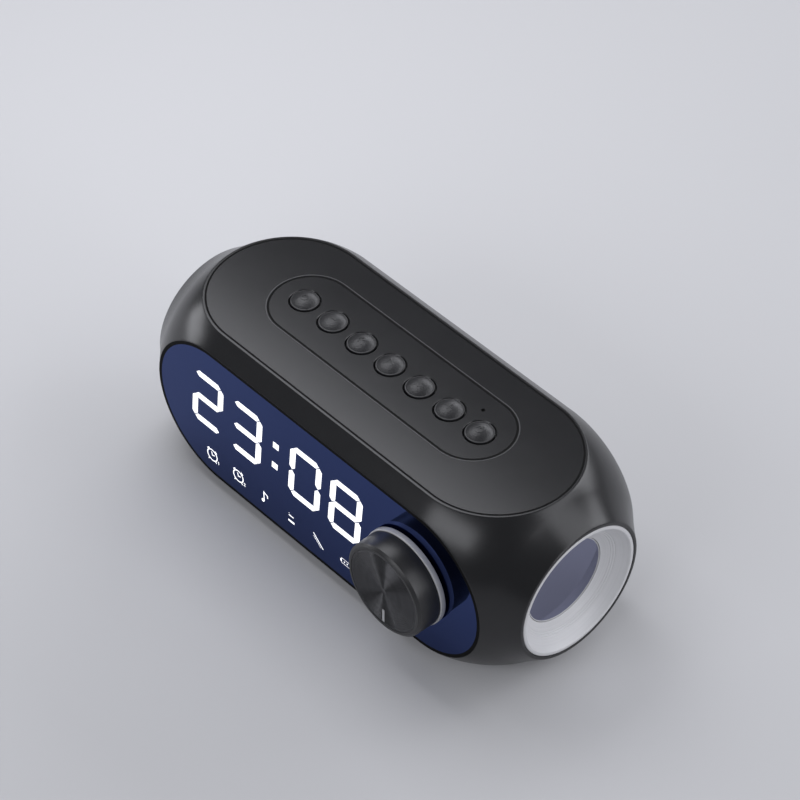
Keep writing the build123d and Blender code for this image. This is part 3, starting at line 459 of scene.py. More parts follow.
displayLight = makeLight()
slotFinish = {
    "body_plastic": bodyPlastic,
    "panel_plastic": panelPlastic,
    "button_plastic": buttonPlastic,
    "mirror_glass": lensNavy,
    "knob_metal": knobBlack,
    "knob_silver": knobSilver,
    "mark_paint": markPaint,
    "end_ring_silver": endSilver,
    "cap_mirror": capMirror,
    "gasket_foam": mouldedFinish("gasketFoam", (0.02, 0.02, 0.02), (0.04, 0.04, 0.04), 0.9, grain=1500.0),
    "light_box_plastic": mouldedFinish("lightBoxWhite", (0.66, 0.66, 0.66), (0.74, 0.74, 0.74), 0.5),
    "segment_plastic": mouldedFinish("segmentMilk", (0.78, 0.8, 0.84), (0.88, 0.9, 0.94), 0.35),
    "circuit_board": mouldedFinish("boardGreen", (0.012, 0.09, 0.035), (0.02, 0.13, 0.05), 0.35,
                                   grain=900.0),
    "switch_plastic": mouldedFinish("socketBlack", (0.018, 0.018, 0.018), (0.03, 0.03, 0.03), 0.42),
    "bright_steel": mouldedFinish("brightSteel", (0.5, 0.5, 0.51), (0.6, 0.6, 0.61), 0.3, metallic=1.0),
    "weight_iron": mouldedFinish("weightIron", (0.1, 0.1, 0.1), (0.15, 0.15, 0.15), 0.5, metallic=1.0),
    "black_rubber": mouldedFinish("footRubber", (0.014, 0.014, 0.014), (0.026, 0.026, 0.026), 0.72,
                                  grain=2400.0, depth=0.05 * mm, strength=0.5),
    "basket_steel": mouldedFinish("basketBlack", (0.03, 0.03, 0.03), (0.05, 0.05, 0.05), 0.4),
    "cone_paper": mouldedFinish("conePaper", (0.022, 0.022, 0.022), (0.045, 0.045, 0.045), 0.85,
                                grain=1800.0),
    "battery_wrap": mouldedFinish("batteryWrap", (0.07, 0.15, 0.36), (0.1, 0.2, 0.44), 0.3),
    "ribbon_plastic": mouldedFinish("ribbonWhite", (0.66, 0.66, 0.63), (0.76, 0.76, 0.73), 0.5),
}
for nodeName, node in nodes.items():
    node.data.materials.clear()
    node.data.materials.append(slotFinish[slotOfNode[nodeName]])
print("finishes made:", len(slotFinish))


# body: a capsule cut flat on four sides with flared ends, as one closed shell with soft rims
bodySizes = {
    "radius": 42.0 * mm,
    "halfStraight": 46.0 * mm,
    "rimFillet": 0.45 * mm,
    "innerRadius": 36.0 * mm,
    "ledgeWidth": 3.2 * mm,
    "coverSeam": 0.15 * mm,
    "pocketEdge": 0.12 * mm,
    "bottomDepth": 2.4 * mm,
    "endRim": 24.2 * mm,
    "endRimSoft": 0.5 * mm,
    "flareWidth": 6.3 * mm,
    "recessRadius": 23.1 * mm,
    "recessDepth": 1.6 * mm,
    "recessSoft": 0.12 * mm,
    "endHole": 21.9 * mm,
    "flareSteps": 12,
    "filletSteps": 4,
    "straightSteps": 48,
    "arcSteps": 36,
    "seamSteps": 8,
    "bowShare": 0.9,
    "shoulderSteps": 16,
    "weldReach": 1e-6,
}


def halfWidth(node, direction):
    low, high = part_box(node)
    return (high.y - low.y) / 2 if direction.z else (high.z - low.z) / 2


def depthOf(node, direction):
    low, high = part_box(node)
    return high.z - low.z if direction.z else high.y - low.y


def buildBody():
    s = bodySizes
    radius, fillet, inner = s["radius"], s["rimFillet"], s["innerRadius"]
    up, out = Vector((0, 0, 1)), Vector((0, -1, 0))
    lensDepth = depthOf("mirror_lens", out) + depthOf("lens_gasket", out)
    flats = [
        (up, topZ - axisZ, halfWidth("top_plate", up), depthOf("top_plate", up)),
        (out, -frontY, halfWidth("mirror_lens", out), lensDepth),
        (-up, axisZ - bodyLow.z, halfWidth("bottom_cover", up), s["bottomDepth"]),
        (-out, rearY, halfWidth("rear_panel", out), depthOf("rear_panel", out)),
    ]
    bm = bmesh.new()

    def grid(rows):
        made = [[bm.verts.new(point) for point in row] for row in rows]
        for low, high in zip(made, made[1:]):
            for index in range(len(low) - 1):
                bm.faces.new((low[index], low[index + 1], high[index + 1], high[index]))

    def rimRows(distance):
        # soft rim between the capsule and a flat: (radius, height) rows
        reach = radius - fillet
        middleR = math.sqrt(reach ** 2 - (distance - fillet) ** 2)
        startAngle = math.atan2(distance - fillet, middleR)
        rows = []
        for step in range(s["filletSteps"] + 1):
            angle = startAngle + (math.pi / 2 - startAngle) * step / s["filletSteps"]
            rows.append((middleR + fillet * math.cos(angle), distance - fillet + fillet * math.sin(angle)))
        return rows

    def capsulePatch(size, angles, endAngle):
        # shell between neighbouring flats: a strip along the body, and a corner at each end
        for index, (first, _, _, _) in enumerate(flats):
            second = flats[(index + 1) % 4][0]
            a, b = angles[index], angles[(index + 1) % 4]
            shares = [step / s["shoulderSteps"] for step in range(s["shoulderSteps"] + 1)]
            strip = []
            for share in shares:
                nearFirst = first * math.cos(a) + second * math.sin(a)
                nearSecond = second * math.cos(b) + first * math.sin(b)
                strip.append(nearFirst.lerp(nearSecond, share).normalized())
            rows = []
            for step in range(s["straightSteps"] + 1):
                x = s["halfStraight"] * (2 * step / s["straightSteps"] - 1)
                rows.append([Vector((x, 0, axisZ)) + way * size for way in strip])
            grid(rows)
            for sign in (1, -1):
                end = Vector((sign, 0, 0))
                centre = Vector((sign * s["halfStraight"], 0, axisZ))
                lastAngle = math.pi / 2 - endAngle
                bows = []
                for share in shares:
                    rim = first * math.cos(math.pi / 2 * share) + second * math.sin(math.pi / 2 * share)
                    bows.append((rim - first.lerp(second, share)) * math.sin(endAngle))
                rows = []
                for step in range(s["arcSteps"] + s["seamSteps"] + 1):
                    # first along the rims of both flats, then on to the end rim
                    along = min(step / s["arcSteps"], 1.0)
                    past = max(step - s["arcSteps"], 0) / s["seamSteps"]
                    turn = math.pi / 2 * along
                    p = a + (lastAngle - a) * past
                    q = b + (lastAngle - b) * past
                    lowSide = second * math.cos(turn) + end * math.sin(turn)
                    highSide = first * math.cos(turn) + end * math.sin(turn)
                    lowEdge = first * math.cos(p) + lowSide * math.sin(p)
                    highEdge = second * math.cos(q) + highSide * math.sin(q)
                    weight = along * s["bowShare"] + past * (1 - s["bowShare"])
                    rows.append([(lowEdge.lerp(highEdge, share) + bow * weight).normalized()
                                 for share, bow in zip(shares, bows)])
                grid([[centre + way * size for way in row] for row in rows])

    def stadium(side):
        # (place on the axis, way outwards) round a flat
        loop = []
        straight, arc = s["straightSteps"], s["arcSteps"]
        for sign in (1, -1):
            for step in range(straight):
                x = sign * s["halfStraight"] * (2 * step / straight - 1)
                loop.append((Vector((x, 0, axisZ)), side * sign))
            for step in range(2 * arc):
                turn = math.pi / 2 * step / arc
                way = side * math.cos(turn) + Vector((1, 0, 0)) * math.sin(turn)
                loop.append((Vector((sign * s["halfStraight"], 0, axisZ)), way * sign))
        return loop

    outerAngles, innerAngles = [], []
    for index, (direction, distance, coverHalf, depth) in enumerate(flats):
        side = flats[(index + 1) % 4][0]
        pocket = coverHalf + s["coverSeam"]
        ledge = pocket - s["ledgeWidth"]
        rows = rimRows(distance)
        outerAngles.append(math.atan2(*rows[0]))
        innerAngles.append(math.asin(ledge / inner))
        rows += [(pocket + s["pocketEdge"], distance), (pocket, distance - s["pocketEdge"])]
        rows += [(pocket, distance - depth), (ledge, distance - depth)]
        rows += [(ledge, math.sqrt(inner ** 2 - ledge ** 2))]
        loop = stadium(side)
        loop.append(loop[0])
        grid([[place + way * r + direction * h for place, way in loop] for r, h in rows])

    endDistance = endX - s["halfStraight"]
    flareRadius = s["endRim"] + s["flareWidth"]
    endAngle = math.asin(flareRadius / radius)
    start = Vector((flareRadius, radius * math.cos(endAngle)))
    chord = Vector((s["endRim"], endDistance)) - start
    across = Vector((-chord.y, chord.x))
    way = Vector((-start.y, start.x)).normalized() * chord.length
    middle = start + chord / 2 + across / 2 * across.dot(way) / (chord.length ** 2 + chord.dot(way))
    flare = arcThrough(start, middle, start + chord, s["flareSteps"])
    hole, recess = s["endHole"], s["recessRadius"]
    rows = flare[:-2] + softCorners([
        (*flare[-2], 0), (*flare[-1], s["endRimSoft"]), (recess, endDistance, s["recessSoft"]),
        (recess, endDistance - s["recessDepth"], 0), (hole, endDistance - s["recessDepth"], 0),
        (hole, math.sqrt(inner ** 2 - hole ** 2), 0)], s["filletSteps"])
    for sign in (1, -1):
        end = Vector((sign, 0, 0))
        centre = Vector((sign * s["halfStraight"], 0, axisZ))
        loop = []
        for index, (first, _, _, _) in enumerate(flats):
            second = flats[(index + 1) % 4][0]
            for step in range(s["shoulderSteps"]):
                turn = math.pi / 2 * step / s["shoulderSteps"]
                loop.append(first * math.cos(turn) + second * math.sin(turn))
        loop.append(loop[0])
        grid([[centre + way * r + end * h for way in loop] for r, h in rows])
    capsulePatch(radius, outerAngles, endAngle)
    capsulePatch(inner, innerAngles, math.asin(hole / inner))
    bmesh.ops.remove_doubles(bm, verts=bm.verts, dist=s["weldReach"])
    bmesh.ops.recalc_face_normals(bm, faces=bm.faces)
    openEdges = sum(1 for edge in bm.edges if len(edge.link_faces) != 2)
    print("body shell:", len(bm.faces), "faces,", openEdges, "open edges")
    return bm


addPiece("bodyShell", buildBody(), bodyPlastic, "case", ["main_housing"])


# fine trim lines: painted shade in the seams round the top plate and the button panel, a painted highlight along
# the button panel's edge, and painted shade in the gap round the lens
trimLines = {
    # name: on the front or the top, middle, half of the straight, radius, width, finish, slot
    # painted shade: near-black strokes in the seams and in the gap round the lens
    "plateSeamShade": ("top", (0.0, 0.0), 46.0, 26.02, 0.62, "paintedShade", "panel_plastic"),
    "panelSeamShade": ("top", (-1.7, 1.6), 36.0, 13.42, 0.76, "paintedShade", "panel_plastic"),
    # painted highlight: a pale stroke for light caught on the edge of the panel's opening
    "panelEdgeHighlightLine": ("top", (-1.7, 1.6), 36.0, 13.97, 0.34, "edge", "panel_plastic"),
    "lensGapShade": ("front", (0.0, 0.0), 46.0, 26.55, 1.20, "paintedShade", "body_plastic"),
}
trimSizes = {
    "thickness": 0.04 * mm,
    "sink": 0.015 * mm,
    "arcSteps": 48,
    "pinholeRadius": 0.52 * mm,
    "pinholeWidth": 0.26 * mm,
    "pinholeSteps": 24,
}
trimPlaces = {"top": placed((0, 0, topZ), (1, 0, 0), (0, 0, 1)), "front": frontPlace}
trimFinishes = {"paintedShade": paintedShadeBlack, "edge": panelEdgeHighlight}


def addTrim(name, spots, width, side, finish):
    # a thin closed line, sunk a little into the face it lies on
    bm = bmesh.new()
    stroke(bm, spots, width, trimSizes["thickness"], flatAt(-trimSizes["sink"]), closed=True)
    bmesh.ops.recalc_face_normals(bm, faces=bm.faces)
    bmesh.ops.transform(bm, matrix=trimPlaces[side], verts=bm.verts)
    addPiece(name, bm, trimFinishes[finish], "case")


def buildTrim(name, side, middle, halfStraight, radius, width, finish, slot):
    x, y = middle
    points = circlePoints(x + halfStraight, y, radius, trimSizes["arcSteps"], -90.0, 90.0)
    points += circlePoints(x - halfStraight, y, radius, trimSizes["arcSteps"], 90.0, 270.0)
    addTrim(name, [(px * mm, py * mm) for px, py in points], width * mm, side, finish)


def buildPinholeShade():
    # painted shade: a dark ring round the microphone's pinhole, standing in for shade in its chamfer
    s = trimSizes
    low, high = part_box("microphone")
    rim = circlePoints((low.x + high.x) / 2, (low.y + high.y) / 2, s["pinholeRadius"], s["pinholeSteps"])
    addTrim("pinholeShade", rim, s["pinholeWidth"], "top", "paintedShade")


for trimName, trim in trimLines.items():
    buildTrim(trimName, *trim)
buildPinholeShade()
print("trim lines made")


# push buttons: a lip, a dome and a raised sign
buttonSizes = {
    "lipHeight": 0.26 * mm,
    "lipWidth": 0.42 * mm,
    "lipSoft": 0.14 * mm,
    "domeHeight": 1.5 * mm,
    "domeDip": 0.12 * mm,
    "domePower": 2.1,
    "domeFull": 1.08,
    "skirtWidth": 1.05 * mm,
    "flangeLow": -3.2 * mm,
    "flangeHigh": -2.4 * mm,
    "stemRadius": 1.6 * mm,
    "signWidth": 0.44 * mm,
    "signHeight": 0.11 * mm,
    "signReach": 1.25 * mm,
    "domeSteps": 24,
    "turnSteps": 96,
}


def domeRise(r, reach, low, high):
    share = min(r / reach, 1.0)
    return low + (high - low) * (1 - share ** buttonSizes["domePower"]) ** (1 / buttonSizes["domeFull"])


def signStrokes(number, reach):
    # plain signs: ring, minus, back, play, forward, plus, bar in a ring
    chevron = [(0.5 * reach, reach), (-0.5 * reach, 0.0), (0.5 * reach, -reach)]
    level = ([(-reach, 0), (0, 0), (reach, 0)], False)
    upright = ([(0, -reach), (0, 0), (0, reach)], False)

    def chevrons(way):
        # two side by side: way 1 points back, -1 forward
        return [([(way * x + shift * reach, y) for x, y in chevron], False) for shift in (-0.6, 0.6)]

    signs = {
        1: [(circlePoints(0, 0, 0.8 * reach, 24), True)],
        2: [level],
        3: chevrons(1),
        4: [([(-0.7 * reach, reach), (-0.7 * reach, -reach), (1.1 * reach, 0.0)], True)],
        5: chevrons(-1),
        6: [level, upright],
        7: [(circlePoints(0, 0, reach, 24, 120.0, 420.0), False),
            ([(0, 0.2 * reach), (0, 1.3 * reach)], False)],
    }
    return signs[number]


def buildButton(number):
    s = buttonSizes
    name = f"button_{number}"
    low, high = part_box(name)
    panelTop = high.z - s["domeHeight"]
    foot = low.z - panelTop
    flange = (high.x - low.x) / 2
    radius = flange - s["skirtWidth"]
    reach = radius - s["lipWidth"]
    lip = s["lipHeight"]
    domeLow = lip - s["domeDip"]
    place = Matrix.Translation(((low.x + high.x) / 2, (low.y + high.y) / 2, panelTop))

    def onDome(x, y):
        return domeRise(math.hypot(x, y), reach, domeLow, s["domeHeight"]) - s["signHeight"]

    outline = softCorners([
        (0, foot, 0), (s["stemRadius"], foot, 0), (s["stemRadius"], s["flangeLow"], 0),
        (flange, s["flangeLow"], 0), (flange, s["flangeHigh"], 0), (radius, s["flangeHigh"], 0),
        (radius, lip, s["lipSoft"]), (reach, lip, 0)])
    for step in range(s["domeSteps"] + 1):
        r = reach * math.cos(math.pi / 2 * step / s["domeSteps"])
        outline.append(Vector((r, domeRise(r, reach, domeLow, s["domeHeight"]))))
    bm = lathe(outline, place, s["turnSteps"])
    raised = bmesh.new()
    for points, closed in signStrokes(number, s["signReach"]):
        stroke(raised, points, s["signWidth"], s["signHeight"] * 2, onDome, closed)
    bmesh.ops.transform(raised, matrix=place, verts=raised.verts)
    merge(bm, raised)
    addPiece(f"pushButton{number}", bm, buttonPlastic, name, [name])


for number in range(1, 8):
    buildButton(number)
print("buttons made")


# knob: body, bright ring and a face turned in fine ridges
knobSizes = {
    "gap": 0.5 * mm,
    "radius": 16.2 * mm,
    "draft": 0.2 * mm,
    "height": 10.6 * mm,
    "edgeHeight": 0.85 * mm,
    "rimWidth": 0.85 * mm,
    "faceSeat": 14.2 * mm,
    "faceThickness": 0.8 * mm,
    "faceRadius": 14.1 * mm,
    "ringRadius": 16.55 * mm,
    "ringSeat": 14.5 * mm,
    "ringLow": 0.75 * mm,
    "ringHigh": 2.6 * mm,
    "skirtWall": 2.0 * mm,
    "roof": 1.8 * mm,
    "ridgePitch": 0.56 * mm,
    "ridgeDepth": 0.20 * mm,
    "ridgeStart": 0.9 * mm,
    "ridgeSteps": 8,
    "edgeSoft": 0.22 * mm,
    "ringSoft": 0.25 * mm,
    "faceEdge": 0.1 * mm,
    "faceSharp": 60.0,
    "turnSteps": 200,
}
knobPlace = placed(knobPoint, (1, 0, 0), (0, -1, 0))


def buildKnob():
    s = knobSizes
    floor = s["height"] - s["faceThickness"]
    soft = s["edgeSoft"]
    cavity = s["ringSeat"] - s["skirtWall"]
    outline = softCorners([
        (0, floor - s["roof"], 0), (cavity, floor - s["roof"], 0), (cavity, s["gap"], 0),
        (s["ringSeat"], s["gap"], 0), (s["ringSeat"], s["ringHigh"], 0), (s["radius"], s["ringHigh"], soft),
        (s["radius"] - s["draft"], s["height"] - s["edgeHeight"], soft),
        (s["faceSeat"] + s["rimWidth"], s["height"], soft),
        (s["faceSeat"], s["height"], 0), (s["faceSeat"], floor, 0), (0, floor, 0)])
    barrel = lathe(outline, knobPlace, s["turnSteps"])
    addPiece("knobBarrel", barrel, knobBlack, "knob", ["knob_body"])
    ring = softCorners([
        (s["ringSeat"], s["ringLow"], 0), (s["ringRadius"], s["ringLow"], s["ringSoft"]),
        (s["ringRadius"], s["ringHigh"], s["ringSoft"]), (s["ringSeat"], s["ringHigh"], 0)])
    band = lathe(ring, knobPlace, s["turnSteps"], closed=True)
    addPiece("knobBand", band, knobSilver, "knob", ["knob_ring"])
    face = [Vector((0, floor)), Vector((s["faceRadius"], floor)),
            Vector((s["faceRadius"], s["height"] - s["faceEdge"]))]
    ridges = int((s["faceRadius"] - s["ridgeStart"]) / s["ridgePitch"])
    for step in range(ridges * s["ridgeSteps"], -1, -1):
        turn = 2 * math.pi * step / s["ridgeSteps"]
        drop = s["ridgeDepth"] * (1 + math.cos(turn)) / 2
        face.append(Vector((s["ridgeStart"] + step / s["ridgeSteps"] * s["ridgePitch"], s["height"] - drop)))
    face.append(Vector((0, s["height"] - s["ridgeDepth"])))
    dial = lathe(face, knobPlace, s["turnSteps"])
    addPiece("knobDial", dial, knobFaceBlack, "knob", ["knob_face"], s["faceSharp"])


buildKnob()
print("knob made")


# end bowls with a bright lip and lathe grooves, and the mirror caps in them
bowlSizes = {
    "ringRadius": 23.0 * mm,
    "recess": 1.6 * mm,
    "lip": 1.2 * mm,
    "seat": 1.2 * mm,
    "depth": 6.2 * mm,
    "floorRadius": 15.02 * mm,
    "bulgeShare": 0.56,
    "lipSoft": 0.4 * mm,
    "lipSteps": 8,
    "grooveShares": (0.52, 0.60, 0.68),
    "grooveDepth": 0.09 * mm,
    "grooveShareWidth": 0.016,
    "grooveLean": 0.7,
    "wallSteps": 120,
    "turnSteps": 224,
}
capSizes = {
    "hubRadius": 7.0 * mm,
    "thickness": 1.2 * mm,
    "rimSoft": 0.3 * mm,
    "rimWidth": 0.8 * mm,
    "edgeInset": 0.2 * mm,
    "edgeRadius": 0.16 * mm,
    "edgeSteps": 12,
    "turnSteps": 160,
}


def buildBowl(sideName, sign):
    s = bowlSizes
    node = f"{sideName}_end_ring"
    low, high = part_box(node)
    back = min(abs(low.x), abs(high.x))
    place = placed(axisPoint, (0, 1, 0), (sign, 0, 0))
    face = endX
    seat = endX - s["recess"]
    floor = face - s["depth"]
    mouth = s["ringRadius"] - s["lip"]
    sleeve = s["ringRadius"] - s["seat"]
    bulge = (s["floorRadius"] + (mouth - s["floorRadius"]) * s["bulgeShare"],
             floor + s["depth"] * (1 - s["bulgeShare"]))
    wall = arcThrough((mouth, face), bulge, (s["floorRadius"], floor), s["wallSteps"])
    # the last corner only steers the soft lip into the wall
    outline = softCorners([
        (sleeve, back, 0), (sleeve, seat, 0), (s["ringRadius"], seat, 0),
        (s["ringRadius"], face, s["lipSoft"]), (mouth, face, s["lipSoft"]),
        (*wall[s["lipSteps"] - 2], 0)], arcSteps=5)
    outline.pop()
    for step in range(s["lipSteps"], s["wallSteps"]):
        share = step / s["wallSteps"]
        cut = 0.0
        for groove in s["grooveShares"]:
            cut += s["grooveDepth"] * math.exp(-((share - groove) / s["grooveShareWidth"]) ** 2)
        sunk = cut * s["grooveLean"]
        outline.append(Vector((wall[step].x + sunk, wall[step].y - sunk)))
    outline += [Vector((s["floorRadius"], floor)), Vector((s["floorRadius"], back))]
    bowl = lathe(outline, place, s["turnSteps"], closed=True)
    addPiece(f"{sideName}Bowl", bowl, endSilver, "case", [node])


def buildCap(sideName, sign):
    s = capSizes
    node = f"{sideName}_radiator_cap"
    body = f"{sideName}_radiator"
    low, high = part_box(node)
    radius = (high.y - low.y) / 2
    face = max(abs(low.x), abs(high.x))
    back = min(abs(low.x), abs(high.x))
    under = face - s["thickness"]
    place = placed(axisPoint, (0, 1, 0), (sign, 0, 0))
    outline = softCorners([
        (0, back, 0), (s["hubRadius"], back, 0), (s["hubRadius"], under, 0), (radius, under, 0),
        (radius, face, s["rimSoft"]), (radius - s["rimWidth"], face, 0), (0, face, 0)], arcSteps=5)
    disc = lathe(outline, place, s["turnSteps"])
    addPiece(f"{sideName}Cap", disc, capMirror, body, [node])
    edge = circlePoints(radius - s["edgeInset"], face, s["edgeRadius"], s["edgeSteps"], 0.0, 180.0)
    rim = lathe(edge, place, s["turnSteps"], closed=True)
    addPiece(f"{sideName}CapEdge", rim, endSilver, body)


for sideName, sign in (("right", 1), ("left", -1)):
    buildBowl(sideName, sign)
    buildCap(sideName, sign)
print("end bowls made")


# cover screws: a soft head with a cross recess
screwSizes = {
    "headRadius": 1.6 * mm,
    "headHeight": 1.2 * mm,
    "headSoft": 0.2 * mm,
    "shankRadius": 0.8 * mm,
    "rowReach": 30.0 * mm,
    "armReach": 1.05 * mm,
    "armHalf": 0.24 * mm,
    "recessDepth": 0.7 * mm,
    "recessTaper": 0.75,
    "steps": 96,
}


def crossReach(angle):
    # how far a cross reaches in a direction
    s = screwSizes
    turn = (angle + math.pi / 4) % (math.pi / 2) - math.pi / 4
    return min(s["armReach"] / math.cos(turn), s["armHalf"] / max(abs(math.sin(turn)), tiny))


def buildScrews():
    s = screwSizes
    low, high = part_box("cover_screws")
    rowY = high.y - s["headRadius"]
    endReach = high.x - s["headRadius"]
    head = low.z + s["headHeight"]
    recessTop = low.z + s["recessDepth"]

    def recessReach(angle):
        return s["recessTaper"] * crossReach(angle)

    outline = [
        (0, high.z), (s["shankRadius"], high.z), (s["shankRadius"], head), (s["headRadius"], head),
        (s["headRadius"], low.z + s["headSoft"]), (s["headRadius"] - s["headSoft"], low.z),
        (crossReach, low.z), (recessReach, recessTop), (0, recessTop)]
    places = [(side * s["rowReach"], row * rowY) for side in (1, -1) for row in (1, -1)]
    places += [(endReach, 0.0), (-endReach, 0.0)]
    bm = bmesh.new()
    for x, y in places:
        merge(bm, lathe(outline, Matrix.Translation((x, y, 0)), s["steps"]))
    slot = slotOfNode["cover_screws"]
    addPiece("coverScrews", bm, slotFinish[slot], "case", ["cover_screws"])


buildScrews()
print("cover screws made")


# light through the lens: four digits, a colon and a row of icons
displaySizes = {
    "thickness": 0.03 * mm,
    "firstDigit": -49.2 * mm,
    "digitPitch": 18.3 * mm,
    "pairGap": 8.95 * mm,
    "digitRise": 4.5 * mm,
    "digitWidth": 14.3 * mm,
    "digitHeight": 22.7 * mm,
    "digitLean": 0.1,
    "barWidth": 2.5 * mm,
    "barGap": 0.42 * mm,
    "colonSize": 2.6 * mm,
    "colonSpacing": 9.2 * mm,
    "firstIcon": -48.5 * mm,
    "iconPitch": 12.6 * mm,
    "iconRise": -18.5 * mm,
}
litBars = {"2": "abged", "3": "abgcd", "0": "abcdef", "8": "abcdefg"}
onLens = flatAt(0.0)


def buildDigits(reading):
    s = displaySizes
    bm = bmesh.new()
    reachX = (s["digitWidth"] - s["barWidth"]) / 2
    reachY = (s["digitHeight"] - s["barWidth"]) / 2
    flat = s["digitWidth"] - s["barWidth"] - s["barGap"]
    tall = reachY - s["barGap"]
    bars = {"a": (0, reachY, flat, 0), "g": (0, 0, flat, 0), "d": (0, -reachY, flat, 0),
            "f": (-reachX, reachY / 2, tall, 1), "b": (reachX, reachY / 2, tall, 1),
            "e": (-reachX, -reachY / 2, tall, 1), "c": (reachX, -reachY / 2, tall, 1)}
    half = s["barWidth"] / 2
    for index, digit in enumerate(reading):
        centreX = s["firstDigit"] + index * s["digitPitch"] + (index // 2) * s["pairGap"]
        for bar in litBars[digit]:
            x, y, length, upright = bars[bar]
            shoulder = length / 2 - half
            outline = [(-length / 2, 0), (-shoulder, -half), (shoulder, -half),
                       (length / 2, 0), (shoulder, half), (-shoulder, half)]
            if upright:
                outline = [(-py, px) for px, py in outline]
            points = []
            for px, py in outline:
                points.append((centreX + x + px + s["digitLean"] * (y + py), s["digitRise"] + y + py))
            plate(bm, points, s["thickness"], onLens)
    colonX = s["firstDigit"] + 1.5 * s["digitPitch"] + s["pairGap"] / 2
    size = s["colonSize"] / 2
    for sign in (1, -1):
        rise = sign * s["colonSpacing"] / 2
        middleX = colonX + s["digitLean"] * rise
        points = [(middleX + size * (dx + s["digitLean"] * dy), s["digitRise"] + rise + size * dy)
                  for dx, dy in ((-1, -1), (1, -1), (1, 1), (-1, 1))]
        plate(bm, points, s["thickness"], onLens)
    bmesh.ops.transform(bm, matrix=frontPlace, verts=bm.verts)
    addPiece("litDigits", bm, displayLight, "case")


def iconStrokes():
    # each icon: strokes in millimetres about its own middle, as (points, closed, width)
    bells = [(circlePoints(0, 0, 2.85, 4, start, start + 22), False, 0.5) for start in (40, 118)]
    feet = [([(side * 1.45, -2.0), (side * 1.9, -2.6)], False, 0.4) for side in (1, -1)]
    hands = [([(-0.3, 1.35), (0, 0), (1.15, 0.4)], False, 0.36)]
    clock = [(circlePoints(0, 0, 2.3, 40), True, 0.42)] + hands + bells + feet
    one = [([(2.6, -1.35), (2.95, -1.1), (2.95, -2.3)], False, 0.24)]
    two = [([(2.55, -1.35), (2.9, -1.05), (3.25, -1.4), (2.55, -2.3), (3.3, -2.3)], False, 0.22)]
    note = [([(-0.3, -1.7), (-0.3, 2.3), (1.4, 1.5), (1.4, 0.5)], False, 0.42),
            (circlePoints(-0.85, -1.75, 0.35, 16), True, 0.6)]
    bars = [([(-1.1, 1.25), (1.1, 1.25)], False, 0.42), ([(-1.4, -1.2), (1.4, -1.2)], False, 0.8),
            ([(-1.1, 2.1), (-0.85, 2.1)], False, 0.22)]
    slants = [([(-2.2, 2.25), (2.2, -2.25)], False, 0.36), ([(-2.2, 1.0), (1.1, -2.3)], False, 0.16)]
    cell = [([(-1.9, 1.05), (2.2, 1.05), (2.2, -1.05), (-1.9, -1.05)], True, 0.14),
            ([(-2.2, 0.5), (-2.2, -0.5)], False, 0.5),
            (circlePoints(-0.6, 0, 0.14, 10), True, 0.26), (circlePoints(0.7, 0, 0.14, 10), True, 0.26)]
    return [clock + one, clock + two, note, bars, slants, cell]


def buildIcons():
    s = displaySizes
    bm = bmesh.new()
    for index, strokes in enumerate(iconStrokes()):
        middleX = s["firstIcon"] + index * s["iconPitch"]
        for points, closed, width in strokes:
            spots = [(middleX + x * mm, s["iconRise"] + y * mm) for x, y in points]
            stroke(bm, spots, width * mm, s["thickness"], onLens, closed)
    bmesh.ops.recalc_face_normals(bm, faces=bm.faces)
    bmesh.ops.transform(bm, matrix=frontPlace, verts=bm.verts)
    addPiece("litIcons", bm, displayLight, "case")


buildDigits("2308")
buildIcons()
print("display lit")


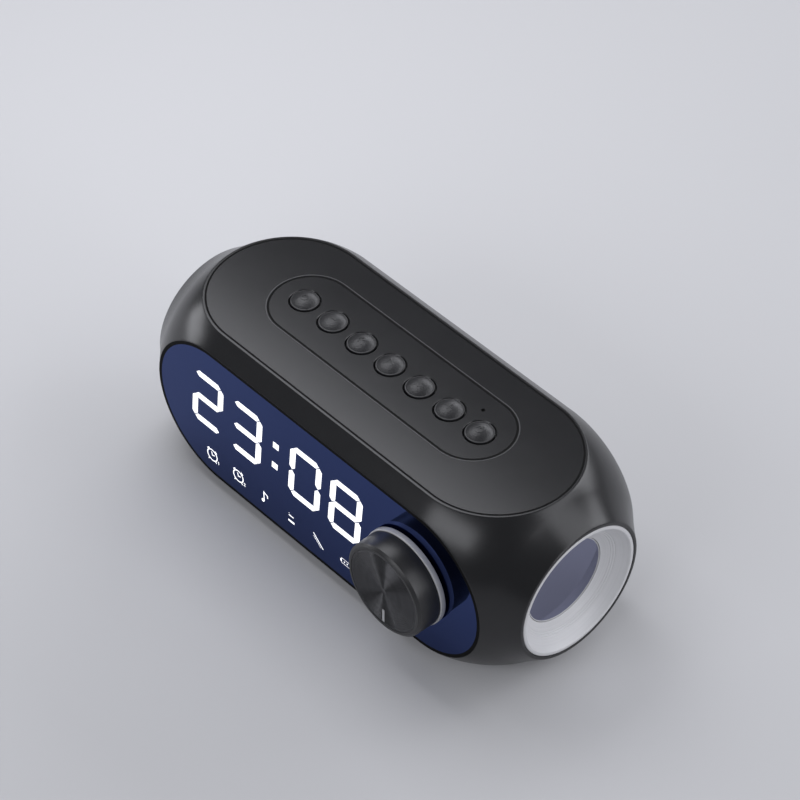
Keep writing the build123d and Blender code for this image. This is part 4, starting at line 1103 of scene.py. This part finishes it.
# studio: pale floor, soft light, and a camera at the photograph's view
studio = {
    "floorSize": 8.0,
    "floorTone": (0.54, 0.54, 0.55),
    "floorRough": 0.7,
    "floorSpecular": 0.1,
    "worldTone": (0.80, 0.82, 0.86),
    "lampTone": (0.94, 0.95, 1.0),
    "worldLevel": 0.25,
    "target": (0.01127, -0.00641, 0.06413),
    "distance": 0.9292,
    "azimuth": 47.28,
    "elevation": 44.62,
    "lens": 139.94,
    "sensor": 36.0,
}
lamps = [
    # name, place, aim, width, height, power
    ("backSoftbox", (-0.05, 0.88, 0.42), (0.0, 0.0, 0.04), 1.4, 0.4, 5.6),
    ("topSoftbox", (-0.23, 0.04, 0.38), (-0.23, 0.04, 0.0), 0.34, 0.30, 1.1),
    ("rightSoftbox", (0.56, 0.46, 0.62), (0.06, 0.0, 0.05), 0.8, 0.42, 2.3),
    ("sideSoftbox", (0.80, 0.10, 0.30), (0.08, 0.0, 0.03), 0.3, 0.3, 1.4),
    ("frontSoftbox", (0.06, -0.62, 0.45), (0.03, -0.03, 0.05), 0.6, 0.26, 1.6),
    ("leftSoftbox", (-0.80, -0.32, 0.17), (-0.05, 0.0, 0.05), 0.4, 0.24, 1.2),
]


def buildFloor():
    s = studio
    half = s["floorSize"] / 2
    corners = [(-half, -half, 0), (half, -half, 0), (half, half, 0), (-half, half, 0)]
    floorMesh = bpy.data.meshes.new("floorSheet")
    floorMesh.from_pydata(corners, [], [(0, 1, 2, 3)])
    floor = bpy.data.objects.new("floorSheet", floorMesh)
    bpy.context.scene.collection.objects.link(floor)
    material, _, shader = startMaterial("floorPale")
    shader.inputs["Base Color"].default_value = (*s["floorTone"], 1.0)
    shader.inputs["Roughness"].default_value = s["floorRough"]
    shader.inputs["Specular IOR Level"].default_value = s["floorSpecular"]
    floorMesh.materials.append(material)


def lightStudio():
    s = studio
    world = bpy.data.worlds.new("softSky")
    world.use_nodes = True
    sky = world.node_tree.nodes["Background"]
    sky.inputs["Color"].default_value = (*s["worldTone"], 1.0)
    sky.inputs["Strength"].default_value = s["worldLevel"]
    bpy.context.scene.world = world
    for name, place, aim, width, height, power in lamps:
        light = bpy.data.lights.new(name, "AREA")
        light.shape = "RECTANGLE"
        light.size = width
        light.size_y = height
        light.energy = power
        light.color = s["lampTone"]
        lamp = bpy.data.objects.new(name, light)
        lamp.location = place
        lamp.rotation_euler = (Vector(aim) - Vector(place)).to_track_quat("-Z", "Y").to_euler()
        bpy.context.scene.collection.objects.link(lamp)


def placeCamera():
    s = studio
    azimuth = math.radians(s["azimuth"])
    elevation = math.radians(s["elevation"])
    back = Vector((math.sin(azimuth) * math.cos(elevation), -math.cos(azimuth) * math.cos(elevation),
                   math.sin(elevation)))
    view = bpy.data.cameras.new("photoView")
    view.lens = s["lens"]
    view.sensor_width = s["sensor"]
    camera = bpy.data.objects.new("photoView", view)
    camera.location = Vector(s["target"]) + back * s["distance"]
    camera.rotation_euler = (-back).to_track_quat("-Z", "Y").to_euler()
    bpy.context.scene.collection.objects.link(camera)
    bpy.context.scene.camera = camera


buildFloor()
lightStudio()
placeCamera()
bpy.context.scene.view_settings.view_transform = "Standard"
print("studio set")
